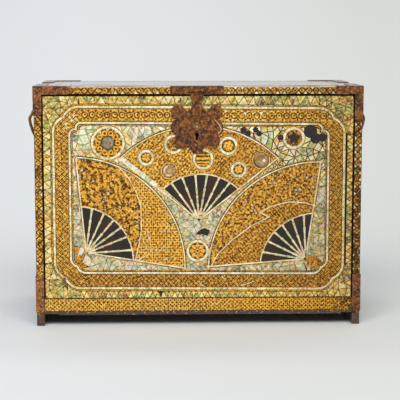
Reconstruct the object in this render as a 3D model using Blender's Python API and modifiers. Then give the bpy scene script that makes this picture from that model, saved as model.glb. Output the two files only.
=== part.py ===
"""Fall-front chest in lacquer and shell inlay, with iron mounts, a hasp and two bail handles.

Metres, +Z up. The front faces -Y, and the feet stand on z = 0.
The origin is the middle of the object's box, at the floor.
"""
import math

import bmesh
import bpy
from mathutils import Matrix, Vector

# The case of boards
case_width = 0.559
case_depth = 0.280
case_height = 0.4122
side_thickness = 0.0135
top_thickness = 0.0130
bottom_thickness = 0.0220
back_thickness = 0.0100
floor_to_bottom_board = 0.0260
board_edge_round = 0.0009

# The apron under the front edge of the bottom board
apron_thickness = 0.0135
apron_drop = 0.0070
apron_end_length = 0.0240
apron_end_rise = 0.0020

# The front panel, which tips out over a tongue in a groove
panel_thickness = 0.0135
panel_recess = 0.0008
panel_side_gap = 0.0012
panel_top_gap = 0.0020
tongue_thickness = 0.0050
tongue_height = 0.0050
tongue_clearance = 0.0003

# Fits between neighbours
seat_gap = 0.0003
running_gap = 0.0003

# Iron sheet on the corners: how far each arm runs from its corner
sheet_thickness = 0.0009
left_rail_arm = 0.064
right_rail_arm = 0.048
left_down_arm = 0.049
right_down_arm = 0.057
back_rail_arm = 0.064
back_down_arm = 0.050
edge_arm = 0.105
flange_width = 0.020
strap_height = 0.064
strap_foot_height = 0.024
strap_flange = 0.024
arm_corner_round = 0.004
arm_round_share = 0.45

# The lock plate, as a ring of lobes about its centre
lock_offset_x = -0.003
lock_centre_below_rail = 0.0587
lock_plate_thickness = 0.0014
lock_body_radius = 0.0340
side_lobe_radius = 0.0155
side_lobe_reach = 0.0290
side_lobe_raise = 0.0030
upper_lobe_radius = 0.0120
upper_lobe_reach_x = 0.0320
upper_lobe_reach_z = 0.0290
lower_lobe_radius = 0.0140
lower_lobe_reach_x = 0.0250
lower_lobe_reach_z = 0.0200
end_lobe_radius = 0.0110
end_lobe_reach = 0.0320
lobe_outline_steps = 144
keyhole_below_centre = 0.0095
keyhole_head_radius = 0.0035
keyhole_slot_width = 0.0038
keyhole_slot_length = 0.0100

# The hasp and its hinge
hasp_plate_width = 0.091
hasp_plate_depth = 0.024
hasp_plate_thickness = 0.0012
barrel_radius = 0.0026
barrel_width = 0.0250
middle_knuckle_width = 0.0130
hinge_pin_radius = 0.0011
hinge_pin_spare = 0.0004
knuckle_web = 0.0010
hasp_thickness = 0.0016
hasp_shoulder_drop = 0.0034
hasp_shoulder_width = 0.0242
hasp_middle_drop = 0.0155
hasp_middle_width = 0.0190
hasp_neck_drop = 0.0260
hasp_neck_width = 0.0148
tongue_top_drop = 0.0280
tongue_top_width = 0.0182
tongue_end_drop = 0.0520
tongue_end_width = 0.0100
diamond_drop = 0.0613
diamond_width = 0.0172
diamond_height = 0.0132
knob_radius = 0.0034
knob_height = 0.0030
hasp_edge_round = 0.0003

# The bail handles on the sides
bail_rod_radius = 0.0026
bail_pivot_below_top = 0.0492
bail_pivot_out = 0.0080
post_spacing = 0.0988
post_eye_width = 0.0050
post_eye_radius = 0.0052
post_stem_radius = 0.0032
rose_radius = 0.0070
rose_thickness = 0.0012
bail_eye_clearance = 0.0004
bail_end_past_eye = 0.0034
bail_shoulder_spread = 0.0100
bail_shoulder_out = 0.0065
bail_drop = 0.0420
bail_grip_in = 0.0014

# Half of the bail past its eye, from the eye down to the grip.
# Each row is a share of the outward bulge, a share of the spread past the post, and a share of the drop.
bail_shape = [
    (0.35, 0.70, 0.03),
    (1.00, 1.00, 0.19),
    (0.95, 1.00, 0.38),
    (0.58, 0.80, 0.62),
    (0.10, 0.50, 0.84),
    (-0.17, -0.20, 0.96),
]
grip_straight_share = 0.72

# How finely rounds are drawn
round_steps = 24
pin_steps = 16
path_steps = 3
arc_steps = 3
edge_steps = 2
sharp_angle = 35.0
rod_sharp_angle = 60.0
bevel_angle = 40.0
weld_distance = 1e-6

# Places worked out from the sizes
sheet_reach = seat_gap + sheet_thickness
hasp_plate_reach = seat_gap + hasp_plate_thickness
barrel_axis_reach = hasp_plate_reach + running_gap + barrel_radius
front_reach = barrel_axis_reach + barrel_radius
back_reach = sheet_reach
front_y = front_reach - 0.5 * (case_depth + front_reach + back_reach)
back_y = front_y + case_depth
half_width = 0.5 * case_width
inner_half_width = half_width - side_thickness
bottom_board_top = floor_to_bottom_board + bottom_thickness
top_board_under = case_height - top_thickness
panel_front_y = front_y + panel_recess
panel_back_y = panel_front_y + panel_thickness
panel_bottom = bottom_board_top + seat_gap
panel_top = top_board_under - panel_top_gap
back_board_front_y = back_y - back_thickness
tongue_front_y = panel_front_y + 0.5 * (panel_thickness - tongue_thickness)
lock_plate_back_y = panel_front_y - seat_gap
lock_centre_z = top_board_under - lock_centre_below_rail
bail_pivot_z = case_height - bail_pivot_below_top
hasp_axis_y = front_y - barrel_axis_reach
hasp_axis_z = 0.5 * (top_board_under + case_height)
hasp_back_y = front_y - hasp_plate_reach - running_gap
bail_centre_y = 0.5 * (front_y + back_y)
keyhole_z = lock_centre_z - keyhole_below_centre


def clear_scene():
    """Take every object out of the file before the chest is made."""
    for old in list(bpy.data.objects):
        bpy.data.objects.remove(old, do_unlink=True)


def new_collection(name):
    """A collection of that name, linked to the scene."""
    made = bpy.data.collections.new(name)
    bpy.context.scene.collection.children.link(made)
    return made


def new_material(name, colour, roughness, metallic):
    """A Principled material with the part's plain colour."""
    made = bpy.data.materials.new(name)
    made.use_nodes = True
    shader = made.node_tree.nodes["Principled BSDF"]
    shader.inputs["Base Color"].default_value = (*colour, 1.0)
    shader.inputs["Roughness"].default_value = roughness
    shader.inputs["Metallic"].default_value = metallic
    return made


def new_object(name, mesh, location=(0.0, 0.0, 0.0)):
    """An object in the chest's collection, with its own material slot still empty."""
    made = bpy.data.objects.new(name, mesh)
    made.location = location
    chest.objects.link(made)
    return made


def finish(part, colour, roughness, metallic):
    """Give a piece its own material."""
    part.data.materials.clear()
    part.data.materials.append(new_material(part.name + "_finish", colour, roughness, metallic))
    return part


def mesh_from(name, bm):
    """A mesh datablock from a bmesh, with its faces pointing out."""
    bmesh.ops.recalc_face_normals(bm, faces=bm.faces)
    mesh = bpy.data.meshes.new(name)
    bm.to_mesh(mesh)
    bm.free()
    return mesh


def box(name, low, high):
    """A box between two corners, with its origin in its middle."""
    low = Vector(low)
    high = Vector(high)
    bm = bmesh.new()
    bmesh.ops.create_cube(bm, size=1.0, matrix=Matrix.Diagonal((*(high - low), 1.0)))
    return new_object(name, mesh_from(name, bm), 0.5 * (low + high))


def turn_to(axis):
    """The rotation that lays a cylinder's own Z along a row axis."""
    return {
        "X": Matrix.Rotation(math.radians(90.0), 4, "Y"),
        "Y": Matrix.Rotation(math.radians(90.0), 4, "X"),
        "Z": Matrix.Identity(4),
    }[axis]


def cylinder(name, centre, radius, length, axis, steps=round_steps):
    """A closed cylinder along X, Y or Z."""
    bm = bmesh.new()
    bmesh.ops.create_cone(
        bm, cap_ends=True, segments=steps, radius1=radius, radius2=radius, depth=length, matrix=turn_to(axis)
    )
    return new_object(name, mesh_from(name, bm), centre)


def flat_solid(name, loops, thickness, to_world):
    """A flat outline, with holes where a loop lies in another, filled and extruded to its thickness."""
    curve = bpy.data.curves.new(name, "CURVE")
    curve.dimensions = "2D"
    curve.fill_mode = "BOTH"
    curve.extrude = 0.5 * thickness
    for points in loops:
        spline = curve.splines.new("POLY")
        spline.points.add(len(points) - 1)
        for point, (u, v) in zip(spline.points, points):
            point.co = (u, v, 0.0, 1.0)
        spline.use_cyclic_u = True
    drawn = bpy.data.objects.new(name + "_outline", curve)
    drawn.matrix_world = to_world
    return mesh_of_curve(name, drawn)


def mesh_of_curve(name, drawn):
    """Turn a curve object into a closed mesh object in its own place."""
    chest.objects.link(drawn)
    bpy.context.view_layer.update()
    evaluated = drawn.evaluated_get(bpy.context.evaluated_depsgraph_get())
    mesh = bpy.data.meshes.new_from_object(evaluated)
    mesh.name = name
    bm = bmesh.new()
    bm.from_mesh(mesh)
    bmesh.ops.remove_doubles(bm, verts=bm.verts, dist=weld_distance)
    bmesh.ops.recalc_face_normals(bm, faces=bm.faces)
    bm.to_mesh(mesh)
    bm.free()
    made = new_object(name, mesh)
    made.matrix_world = drawn.matrix_world.copy()
    bpy.data.objects.remove(drawn, do_unlink=True)
    return made


def plane_facing(axis, origin):
    """Outline axes to world: X reads (y, z), Y reads (x, z), Z reads (x, y)."""
    turns = {
        "X": Matrix(((0, 0, 1), (1, 0, 0), (0, 1, 0))),
        "Y": Matrix(((1, 0, 0), (0, 0, -1), (0, 1, 0))),
        "Z": Matrix.Identity(3),
    }
    return Matrix.Translation(origin) @ turns[axis].to_4x4()


def combine(base, other, operation):
    """Join or cut base with another object, which moves to the cutters' collection."""
    bpy.context.view_layer.update()
    chest.objects.unlink(other)
    cutters.objects.link(other)
    other.hide_render = True
    other.display_type = "WIRE"
    step = base.modifiers.new(operation.lower() + "_" + other.name, "BOOLEAN")
    step.operation = operation
    step.object = other
    step.solver = "EXACT"
    return base


def round_edges(part, width, segments=edge_steps):
    """Round the sharp edges of a solid."""
    step = part.modifiers.new("rounded_edges", "BEVEL")
    step.width = width
    step.segments = segments
    step.limit_method = "ANGLE"
    step.angle_limit = math.radians(bevel_angle)
    return part


def smooth(part, angle=sharp_angle):
    """Shade a round piece smooth, with its edges kept sharp."""
    part.data.shade_smooth()
    part.data.set_sharp_from_angle(angle=math.radians(angle))
    return part


def wood(part):
    """Black lacquer on wood."""
    return finish(part, (0.055, 0.035, 0.022), 0.35, 0.0)


def gilt_wood(part):
    """Gold-sprinkled lacquer on wood."""
    return finish(part, (0.42, 0.25, 0.08), 0.38, 0.2)


def iron(part):
    """Brown patinated iron."""
    return finish(part, (0.16, 0.085, 0.055), 0.6, 0.7)


def build_boards():
    """The five boards of the case."""
    top = box(
        "top_board",
        (-half_width, front_y, top_board_under),
        (half_width, back_y, case_height),
    )
    wood(round_edges(top, board_edge_round))
    for name, side in (("left_side_board", -1), ("right_side_board", 1)):
        edges = sorted((side * half_width, side * inner_half_width))
        board = box(
            name,
            (edges[0], front_y, 0.0),
            (edges[1], back_y, top_board_under - seat_gap),
        )
        wood(round_edges(board, board_edge_round))
    back = box(
        "back_board",
        (-inner_half_width + seat_gap, back_board_front_y, bottom_board_top + seat_gap),
        (inner_half_width - seat_gap, back_y, top_board_under - seat_gap),
    )
    wood(round_edges(back, board_edge_round))
    build_bottom_board()


def build_bottom_board():
    """The bottom board, grooved for the panel's tongue, with the apron under its front edge."""
    length = 2.0 * (inner_half_width - seat_gap)
    groove_front = tongue_front_y - tongue_clearance
    groove_back = tongue_front_y + tongue_thickness + tongue_clearance
    groove_floor = bottom_board_top - tongue_height - tongue_clearance
    apron_back = front_y + apron_thickness
    apron_low = floor_to_bottom_board - apron_drop
    section = [
        (front_y, apron_low),
        (apron_back, apron_low),
        (apron_back, floor_to_bottom_board),
        (back_y, floor_to_bottom_board),
        (back_y, bottom_board_top),
        (groove_back, bottom_board_top),
        (groove_back, groove_floor),
        (groove_front, groove_floor),
        (groove_front, bottom_board_top),
        (front_y, bottom_board_top),
    ]
    board = flat_solid("bottom_board", [section], length, plane_facing("X", (0.0, 0.0, 0.0)))
    for side in (-1, 1):
        ends = sorted((side * inner_half_width, side * (inner_half_width - apron_end_length)))
        trim = box(
            "apron_end_cut_" + ("left" if side < 0 else "right"),
            (ends[0], front_y - apron_thickness, apron_low - apron_drop),
            (ends[1], apron_back + apron_thickness, apron_low + apron_end_rise),
        )
        combine(board, trim, "DIFFERENCE")
    gilt_wood(board)


def keyhole_outline():
    """A round head with a straight slot below it, about the head's centre, in x and z."""
    half_slot = 0.5 * keyhole_slot_width
    start = math.asin(half_slot / keyhole_head_radius)
    sweep = 2.0 * (math.pi - start)
    points = []
    for step in range(round_steps + 1):
        angle = -0.5 * math.pi + start + sweep * step / round_steps
        points.append((keyhole_head_radius * math.cos(angle), keyhole_head_radius * math.sin(angle)))
    points.append((-half_slot, -keyhole_slot_length))
    points.append((half_slot, -keyhole_slot_length))
    return points


def build_front_panel():
    """The front panel with its tongue, drilled through for the key."""
    half_panel = inner_half_width - panel_side_gap
    panel = box(
        "front_panel",
        (-half_panel, panel_front_y, panel_bottom),
        (half_panel, panel_back_y, panel_top),
    )
    tongue = box(
        "panel_tongue",
        (-half_panel, tongue_front_y, panel_bottom - tongue_height),
        (half_panel, tongue_front_y + tongue_thickness, panel_bottom + tongue_height),
    )
    combine(panel, tongue, "UNION")
    key_middle = (lock_offset_x, 0.5 * (panel_front_y + panel_back_y), keyhole_z)
    key_cut = flat_solid(
        "keyhole_cut", [keyhole_outline()], 2.0 * panel_thickness, plane_facing("Y", key_middle)
    )
    combine(panel, key_cut, "DIFFERENCE")
    gilt_wood(panel)


def lock_plate_lobes():
    """The centre and radius of each disc that the lock plate is made of, about its middle."""
    lobes = [
        (0.0, 0.0, lock_body_radius),
        (0.0, end_lobe_reach, end_lobe_radius),
        (0.0, -end_lobe_reach, end_lobe_radius),
    ]
    for side in (-1, 1):
        lobes.append((side * side_lobe_reach, side_lobe_raise, side_lobe_radius))
        lobes.append((side * upper_lobe_reach_x, upper_lobe_reach_z, upper_lobe_radius))
        lobes.append((side * lower_lobe_reach_x, -lower_lobe_reach_z, lower_lobe_radius))
    return lobes


def lobed_outline():
    """The outer edge of the lobes, read round the plate's middle."""
    points = []
    for step in range(lobe_outline_steps):
        angle = 2.0 * math.pi * step / lobe_outline_steps
        ray = (math.cos(angle), math.sin(angle))
        reach = 0.0
        for x, z, radius in lock_plate_lobes():
            along = x * ray[0] + z * ray[1]
            across = x * ray[1] - z * ray[0]
            if abs(across) < radius:
                reach = max(reach, along + math.sqrt(radius**2 - across**2))
        points.append((reach * ray[0], reach * ray[1]))
    return points


def build_lock_plate():
    """The lobed iron plate on the panel, with its keyhole."""
    hole = [(u, v - keyhole_below_centre) for u, v in keyhole_outline()]
    middle = (lock_offset_x, lock_plate_back_y - 0.5 * lock_plate_thickness, lock_centre_z)
    plate = flat_solid(
        "lock_plate", [lobed_outline(), hole], lock_plate_thickness, plane_facing("Y", middle)
    )
    iron(plate)


def build_hasp_plate():
    """The iron plate over the top rail, folded on to the top, with the two outer hinge knuckles."""
    half_plate = 0.5 * hasp_plate_width
    plate_front = front_y - hasp_plate_reach
    plate_top = case_height + sheet_reach
    section = [
        (plate_front, top_board_under),
        (front_y - seat_gap, top_board_under),
        (front_y - seat_gap, case_height + seat_gap),
        (front_y + hasp_plate_depth, case_height + seat_gap),
        (front_y + hasp_plate_depth, plate_top),
        (plate_front, plate_top),
    ]
    plate = flat_solid(
        "hasp_plate", [section], 2.0 * half_plate, plane_facing("X", (lock_offset_x, 0.0, 0.0))
    )
    knuckle_length = 0.5 * (barrel_width - middle_knuckle_width) - running_gap
    for side in (-1, 1):
        label = "left" if side < 0 else "right"
        outer = lock_offset_x + side * 0.5 * barrel_width
        inner = outer - side * knuckle_length
        middle = 0.5 * (outer + inner)
        ring = cylinder(
            "knuckle_" + label, (middle, hasp_axis_y, hasp_axis_z), barrel_radius, knuckle_length, "X"
        )
        web = box(
            "knuckle_web_" + label,
            (min(outer, inner), hasp_axis_y, hasp_axis_z + barrel_radius - knuckle_web),
            (max(outer, inner), plate_front + 0.5 * hasp_plate_thickness, hasp_axis_z + barrel_radius),
        )
        combine(plate, web, "UNION")
        combine(plate, ring, "UNION")
    bore = cylinder(
        "hasp_plate_bore",
        (lock_offset_x, hasp_axis_y, hasp_axis_z),
        hinge_pin_radius + running_gap,
        2.0 * barrel_width,
        "X",
        pin_steps,
    )
    combine(plate, bore, "DIFFERENCE")
    iron(plate)
    pin = cylinder(
        "hasp_pin",
        (lock_offset_x, hasp_axis_y, hasp_axis_z),
        hinge_pin_radius,
        barrel_width + 2.0 * hinge_pin_spare,
        "X",
        pin_steps,
    )
    iron(smooth(pin))


def hasp_outline():
    """The hasp's leaf seen from the front, about the hinge axis, in x and z."""
    knuckle = 0.5 * middle_knuckle_width - running_gap
    right = [
        (knuckle, 0.0),
        (knuckle, -hasp_shoulder_drop),
        (0.5 * hasp_shoulder_width, -hasp_shoulder_drop),
        (0.5 * hasp_middle_width, -hasp_middle_drop),
        (0.5 * hasp_neck_width, -hasp_neck_drop),
        (0.5 * tongue_top_width, -tongue_top_drop),
        (0.5 * tongue_end_width, -tongue_end_drop),
        (0.25 * tongue_end_width, -(diamond_drop - 0.5 * diamond_height)),
        (0.5 * diamond_width, -diamond_drop),
        (0.0, -(diamond_drop + 0.5 * diamond_height)),
    ]
    left = [(-x, z) for x, z in reversed(right[:-1])]
    return right + left


def build_hasp():
    """The hasp: its knuckle, its leaf and the knob on its end, with its origin on the hinge axis."""
    leaf_middle_y = hasp_back_y - 0.5 * hasp_thickness
    leaf = flat_solid(
        "hasp",
        [hasp_outline()],
        hasp_thickness,
        plane_facing("Y", (lock_offset_x, leaf_middle_y, hasp_axis_z)),
    )
    ring = cylinder(
        "hasp_knuckle",
        (lock_offset_x, hasp_axis_y, hasp_axis_z),
        barrel_radius,
        middle_knuckle_width - 2.0 * running_gap,
        "X",
    )
    bore = cylinder(
        "hasp_bore",
        (lock_offset_x, hasp_axis_y, hasp_axis_z),
        hinge_pin_radius + running_gap,
        2.0 * barrel_width,
        "X",
        pin_steps,
    )
    bm = bmesh.new()
    bmesh.ops.create_uvsphere(
        bm,
        u_segments=pin_steps,
        v_segments=pin_steps // 2,
        radius=1.0,
        matrix=Matrix.Diagonal((knob_radius, knob_height, knob_radius, 1.0)) @ turn_to("Y"),
    )
    knob_place = (lock_offset_x, hasp_back_y - hasp_thickness, hasp_axis_z - diamond_drop)
    knob = new_object("hasp_knob", mesh_from("hasp_knob", bm), knob_place)
    backing = box(
        "hasp_backing_cut",
        (lock_offset_x - knob_radius, hasp_back_y - 0.5 * hasp_thickness, knob_place[2] - knob_radius),
        (lock_offset_x + knob_radius, hasp_back_y + knob_height, knob_place[2] + knob_radius),
    )
    combine(knob, backing, "DIFFERENCE")
    round_edges(leaf, hasp_edge_round, 1)
    combine(leaf, ring, "UNION")
    combine(leaf, knob, "UNION")
    combine(leaf, bore, "DIFFERENCE")
    iron(leaf)


def rounded_corner(before, corner, after, radius, steps=arc_steps):
    """Points of an arc that rounds one right-angled corner of an outline."""
    to_before = (Vector(before) - Vector(corner)).normalized()
    to_after = (Vector(after) - Vector(corner)).normalized()
    centre = Vector(corner) + radius * (to_before + to_after)
    points = []
    for step in range(steps + 1):
        angle = 0.5 * math.pi * step / steps
        points.append(centre - radius * (math.cos(angle) * to_after + math.sin(angle) * to_before))
    return [(p.x, p.y) for p in points]


def arm_plate_outline(length_u, width_u, length_v, width_v):
    """An angle plate with its outer corner at 0, 0 and one arm along each outline axis."""
    end_round = min(arm_corner_round, arm_round_share * width_u, arm_round_share * width_v)
    outline = [(0.0, 0.0), (length_u, 0.0)]
    outline += rounded_corner((length_u, 0.0), (length_u, width_u), (0.0, width_u), end_round)
    outline.append((width_v, width_u))
    outline += rounded_corner((width_v, width_u), (width_v, length_v), (0.0, length_v), end_round)
    outline.append((0.0, length_v))
    return outline


def folded_sheet(name, corner, inward, leaves, thickness):
    """Sheet metal folded round a corner: flat leaves that share their folds, thickened inwards."""
    bm = bmesh.new()
    for points in leaves:
        verts = [bm.verts.new(corner + Vector(inward) * Vector(point)) for point in points]
        edges = [bm.edges.new((verts[i - 1], verts[i])) for i in range(len(verts))]
        bmesh.ops.triangle_fill(bm, edges=edges, use_beauty=True)
    bmesh.ops.remove_doubles(bm, verts=bm.verts, dist=weld_distance)
    for face in bm.faces:
        face.normal_update()
        if face.normal.dot(Vector(inward)) > 0.0:
            face.normal_flip()
    mesh = bpy.data.meshes.new(name)
    bm.to_mesh(mesh)
    bm.free()
    sheet = new_object(name, mesh)
    skin = sheet.modifiers.new("sheet", "SOLIDIFY")
    skin.thickness = thickness
    skin.offset = -1.0
    skin.use_even_offset = True
    return sheet


def build_corner_mount(name, side, face, rail_arm, down_arm):
    """Three angle plates folded round a top corner; side is -1 left, face is -1 front and +1 back."""
    corner = Vector((
        side * (half_width + sheet_reach),
        (front_y if face < 0 else back_y) + face * sheet_reach,
        case_height + sheet_reach,
    ))
    rail_width = top_thickness + sheet_reach
    post_width = side_thickness + sheet_reach
    upright = arm_plate_outline(rail_arm, rail_width, down_arm, post_width)
    top = arm_plate_outline(rail_arm, flange_width, edge_arm, flange_width)
    end = arm_plate_outline(edge_arm, flange_width, down_arm, flange_width)
    leaves = [
        [(u, 0.0, v) for u, v in upright],
        [(u, v, 0.0) for u, v in top],
        [(0.0, u, v) for u, v in end],
    ]
    iron(folded_sheet(name, corner, (-side, -face, -1.0), leaves, sheet_thickness))


def build_foot_strap(name, side):
    """The iron strap over the front edge and the side of a foot."""
    inner = inner_half_width + seat_gap
    outer = half_width + sheet_reach
    skin = half_width + seat_gap
    section = [
        (side * inner, front_y - sheet_reach),
        (side * outer, front_y - sheet_reach),
        (side * outer, front_y + strap_flange),
        (side * skin, front_y + strap_flange),
        (side * skin, front_y - seat_gap),
        (side * inner, front_y - seat_gap),
    ]
    middle_z = strap_foot_height + 0.5 * strap_height
    iron(flat_solid(name, [section], strap_height, plane_facing("Z", (0.0, 0.0, middle_z))))


def build_mounts():
    """The iron sheet on the four top corners and on the two front feet."""
    build_corner_mount("top_left_front_mount", -1, -1, left_rail_arm, left_down_arm)
    build_corner_mount("top_right_front_mount", 1, -1, right_rail_arm, right_down_arm)
    build_corner_mount("top_left_back_mount", -1, 1, back_rail_arm, back_down_arm)
    build_corner_mount("top_right_back_mount", 1, 1, back_rail_arm, back_down_arm)
    build_foot_strap("left_foot_strap", -1)
    build_foot_strap("right_foot_strap", 1)


def smooth_path(stations, steps):
    """Points on a smooth curve through the stations, the same each side of every station."""
    padded = [stations[0], *stations, stations[-1]]
    path = []
    for index in range(1, len(padded) - 2):
        a, b, c, d = (Vector(padded[index + shift]) for shift in (-1, 0, 1, 2))
        for step in range(steps):
            t = step / steps
            path.append(
                0.5 * ((2.0 * b) + (c - a) * t + (2.0 * a - 5.0 * b + 4.0 * c - d) * t**2
                       + (3.0 * b - a - 3.0 * c + d) * t**3)
            )
    path.append(Vector(stations[-1]))
    return path


def bail_stations():
    """The bail's centre line about its pivot: out from the case, along Y, and up."""
    post = 0.5 * post_spacing
    half_eye = 0.5 * post_eye_width
    half = [(0.0, post - half_eye - bail_end_past_eye, 0.0), (0.0, post + half_eye, 0.0)]
    for bulge, spread, drop in bail_shape:
        half.append((bulge * bail_shoulder_out, post + spread * bail_shoulder_spread, -drop * bail_drop))
    half.append((-bail_grip_in, grip_straight_share * post, -bail_drop))
    middle = [(-bail_grip_in, 0.0, -bail_drop)]
    return half + middle + [(x, -y, z) for x, y, z in reversed(half)]


def build_bail(side):
    """One bail, with its origin on its hinge axis, and the two eye posts that hold it."""
    label = "left" if side < 0 else "right"
    pivot = Vector((side * (half_width + bail_pivot_out), bail_centre_y, bail_pivot_z))
    curve = bpy.data.curves.new(label + "_bail", "CURVE")
    curve.dimensions = "3D"
    curve.bevel_depth = bail_rod_radius
    curve.bevel_resolution = 2
    curve.use_fill_caps = True
    path = smooth_path(bail_stations(), path_steps)
    spline = curve.splines.new("POLY")
    spline.points.add(len(path) - 1)
    for point, place in zip(spline.points, path):
        point.co = (side * place.x, place.y, place.z, 1.0)
    drawn = bpy.data.objects.new(label + "_bail_line", curve)
    drawn.location = pivot
    iron(smooth(mesh_of_curve(label + "_bail", drawn), rod_sharp_angle))
    for place, along in (("front", -1), ("back", 1)):
        build_post(label + "_bail_post_" + place, side, pivot + Vector((0.0, along * 0.5 * post_spacing, 0.0)))


def build_post(name, side, eye):
    """An eye post: a round rose on the side board, a stem, and an eye about the bail's axis."""
    wall = side * (half_width + seat_gap)
    rose_out = wall + side * rose_thickness
    rose = cylinder(name, (0.5 * (wall + rose_out), eye.y, eye.z), rose_radius, rose_thickness, "X")
    stem_start = wall + side * 0.5 * rose_thickness
    stem = cylinder(
        name + "_stem",
        (0.5 * (stem_start + eye.x), eye.y, eye.z),
        post_stem_radius,
        abs(eye.x - stem_start),
        "X",
        pin_steps,
    )
    ring = cylinder(name + "_ring", eye, post_eye_radius, post_eye_width, "Y")
    hole = cylinder(name + "_hole", eye, bail_rod_radius + bail_eye_clearance, 4.0 * post_eye_width, "Y")
    combine(rose, stem, "UNION")
    combine(rose, ring, "UNION")
    combine(rose, hole, "DIFFERENCE")
    iron(rose)


clear_scene()
chest = new_collection("shell_chest")
cutters = new_collection("cutters")
build_boards()
build_front_panel()
build_lock_plate()
build_hasp_plate()
build_hasp()
build_mounts()
for handle_side in (-1, 1):
    build_bail(handle_side)
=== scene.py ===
"""Looks of the lacquered fall-front chest: lacquer, gold drawing, shell inlay and iron.

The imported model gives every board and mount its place, in metres.
The drawing on each face is laid out in millimetres: on the front, x runs from the middle of the
case and z from the floor. It is turned into metres where a mesh is made.
"""
import itertools
import math
import random

import bmesh
import bpy
from mathutils import Matrix, Vector
from mathutils.geometry import delaunay_2d_cdt


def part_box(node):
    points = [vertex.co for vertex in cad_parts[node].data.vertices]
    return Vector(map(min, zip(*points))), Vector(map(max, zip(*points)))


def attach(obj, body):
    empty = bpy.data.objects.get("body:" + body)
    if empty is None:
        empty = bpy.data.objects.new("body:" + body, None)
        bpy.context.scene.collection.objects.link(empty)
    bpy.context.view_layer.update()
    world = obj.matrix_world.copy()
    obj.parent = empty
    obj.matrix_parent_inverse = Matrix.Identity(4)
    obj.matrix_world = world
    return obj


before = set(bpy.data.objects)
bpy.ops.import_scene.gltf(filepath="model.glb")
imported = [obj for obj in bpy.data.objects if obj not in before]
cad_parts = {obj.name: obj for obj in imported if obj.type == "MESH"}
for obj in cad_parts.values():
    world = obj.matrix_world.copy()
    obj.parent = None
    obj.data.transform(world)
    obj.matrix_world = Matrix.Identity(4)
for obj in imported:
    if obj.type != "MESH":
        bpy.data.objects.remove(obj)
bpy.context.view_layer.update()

mm = 0.001

# The camera, as fitted to the corners of the case in the photograph
image_pixels = 400
focal_pixels = 1258.45
sensor_width = 36.0
camera_left = 0.06135
camera_ahead = 2.13628
camera_height = 0.49834
camera_down = 0.13011
camera_turn = 0.02976

# Faces of the case, from the frame
top_low, top_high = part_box("top_board")
panel_low, panel_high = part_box("front_panel")
base_low, base_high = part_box("bottom_board")
plate_low, plate_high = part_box("lock_plate")
half_case = top_high.x / mm
case_top = top_high.z / mm
rail_under = top_low.z / mm
half_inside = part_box("right_side_board")[0].x / mm
half_panel = panel_high.x / mm
panel_top = panel_high.z / mm
panel_foot = base_high.z / mm + 0.3
apron_foot = base_low.z / mm
lock_x = 0.5 * (plate_low.x + plate_high.x) / mm
lock_z = 0.5 * (plate_low.z + plate_high.z) / mm
knob_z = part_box("hasp")[0].z / mm + 6.6
keyhole_below_lock = 13.0
keyhole_clear = 9.0
hasp_middle_z = 365.0
hasp_half_length = 13.0

# Heights of the inlay above the lacquer, in millimetres
sheet_height = 0.05
ground_height = 0.09
leaf_height = 0.14
shard_height = 0.13
string_height = 0.19
bare_height = 0.27
ink_height = 0.10
ring_ink_height = ink_height + 0.02
raised_height = string_height + 0.08

# Pieces of one relief lie a step apart in a few layers, and every piece starts below the lacquer
layer_step = 0.008
layers = 7
sunk = 0.05

# The framed field on the front. Each corner is two lobes, given by their reach along a side and
# their radius. The level lines fall to the right, by the frame's fall for each millimetre.
string_width = 3.8
outer_left = -247.1
outer_right = 249.2
outer_top = 377.1
outer_foot = 64.5
outer_lobes = (44.0, 28.0)
inner_left = -219.5
inner_right = 222.0
inner_top = 349.8
inner_foot = 91.4
upper_lobes = (20.0, 9.0)
lower_lobes = (25.0, 14.7)
frame_fall = 0.0076
outer_field = (outer_left, outer_right, outer_foot, outer_top, outer_lobes, outer_lobes)
inner_field = (inner_left, inner_right, inner_foot, inner_top, upper_lobes, lower_lobes)
line_width = 1.1
line_beside_string = 3.9

# The mosaics: the pitch of loose shards, and the dark joints between the pieces
shard_pitch = 9.5
border_joint = 1.1
ground_joint = 0.75
rail_pitch = 11.9
post_pattern_foot = 92.0
board_edge = 1.0

# The three fans: pivot, rivet, directions of the ribs and of the leaf's sides in degrees, and
# centre and radius of the arcs that end the black sectors and the leaf
fans = {
    "left": dict(
        pivot=(-194.2, 126.8), rivet=(-193.7, 130.5),
        ribs=(97.4, 81.4, 65.2, 50.0, 36.4, 21.9, 4.0, -9.0), leaf=(96.1, -9.7),
        black_arc=(-208.2, 112.1), black=95.8, arc=(-213.2, 102.9), reach=192.9),
    "centre": dict(
        pivot=(0.7, 182.3), rivet=(3.1, 190.8),
        ribs=(137.2, 125.9, 110.9, 94.5, 80.1, 65.1, 51.4, 38.9), leaf=(142.3, 37.9),
        black_arc=(3.4, 170.1), black=93.0, arc=(0.4, 153.7), reach=194.9),
    "right": dict(
        pivot=(185.1, 114.1), rivet=None,
        ribs=(183.6, 169.6, 153.7, 138.6, 124.2, 108.9, 93.1, 79.9), leaf=(184.7, 81.0),
        black_arc=(202.6, 97.9), black=97.0, arc=(205.4, 95.0), reach=192.0),
}
rib_start = 4.0

# Lines of shell that cross the side fans' leaves
scroll_line = [(-156.6, 284.3), (-135.0, 274.4), (-119.9, 256.9), (-108.1, 234.9), (-99.6, 210.7),
               (-98.6, 188.6), (-98.7, 166.5), (-102.2, 144.3), (-108.9, 115.4)]
angle_line = [(-85.4, 156.5), (-80.7, 129.7), (-107.1, 112.0)]
zigzag_line = [(20.9, 102.4), (33.1, 124.6), (57.2, 148.9), (90.0, 173.3), (120.8, 188.6), (105.4, 196.5),
               (125.0, 207.5), (155.7, 215.0), (184.3, 212.7), (201.8, 207.2)]

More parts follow.
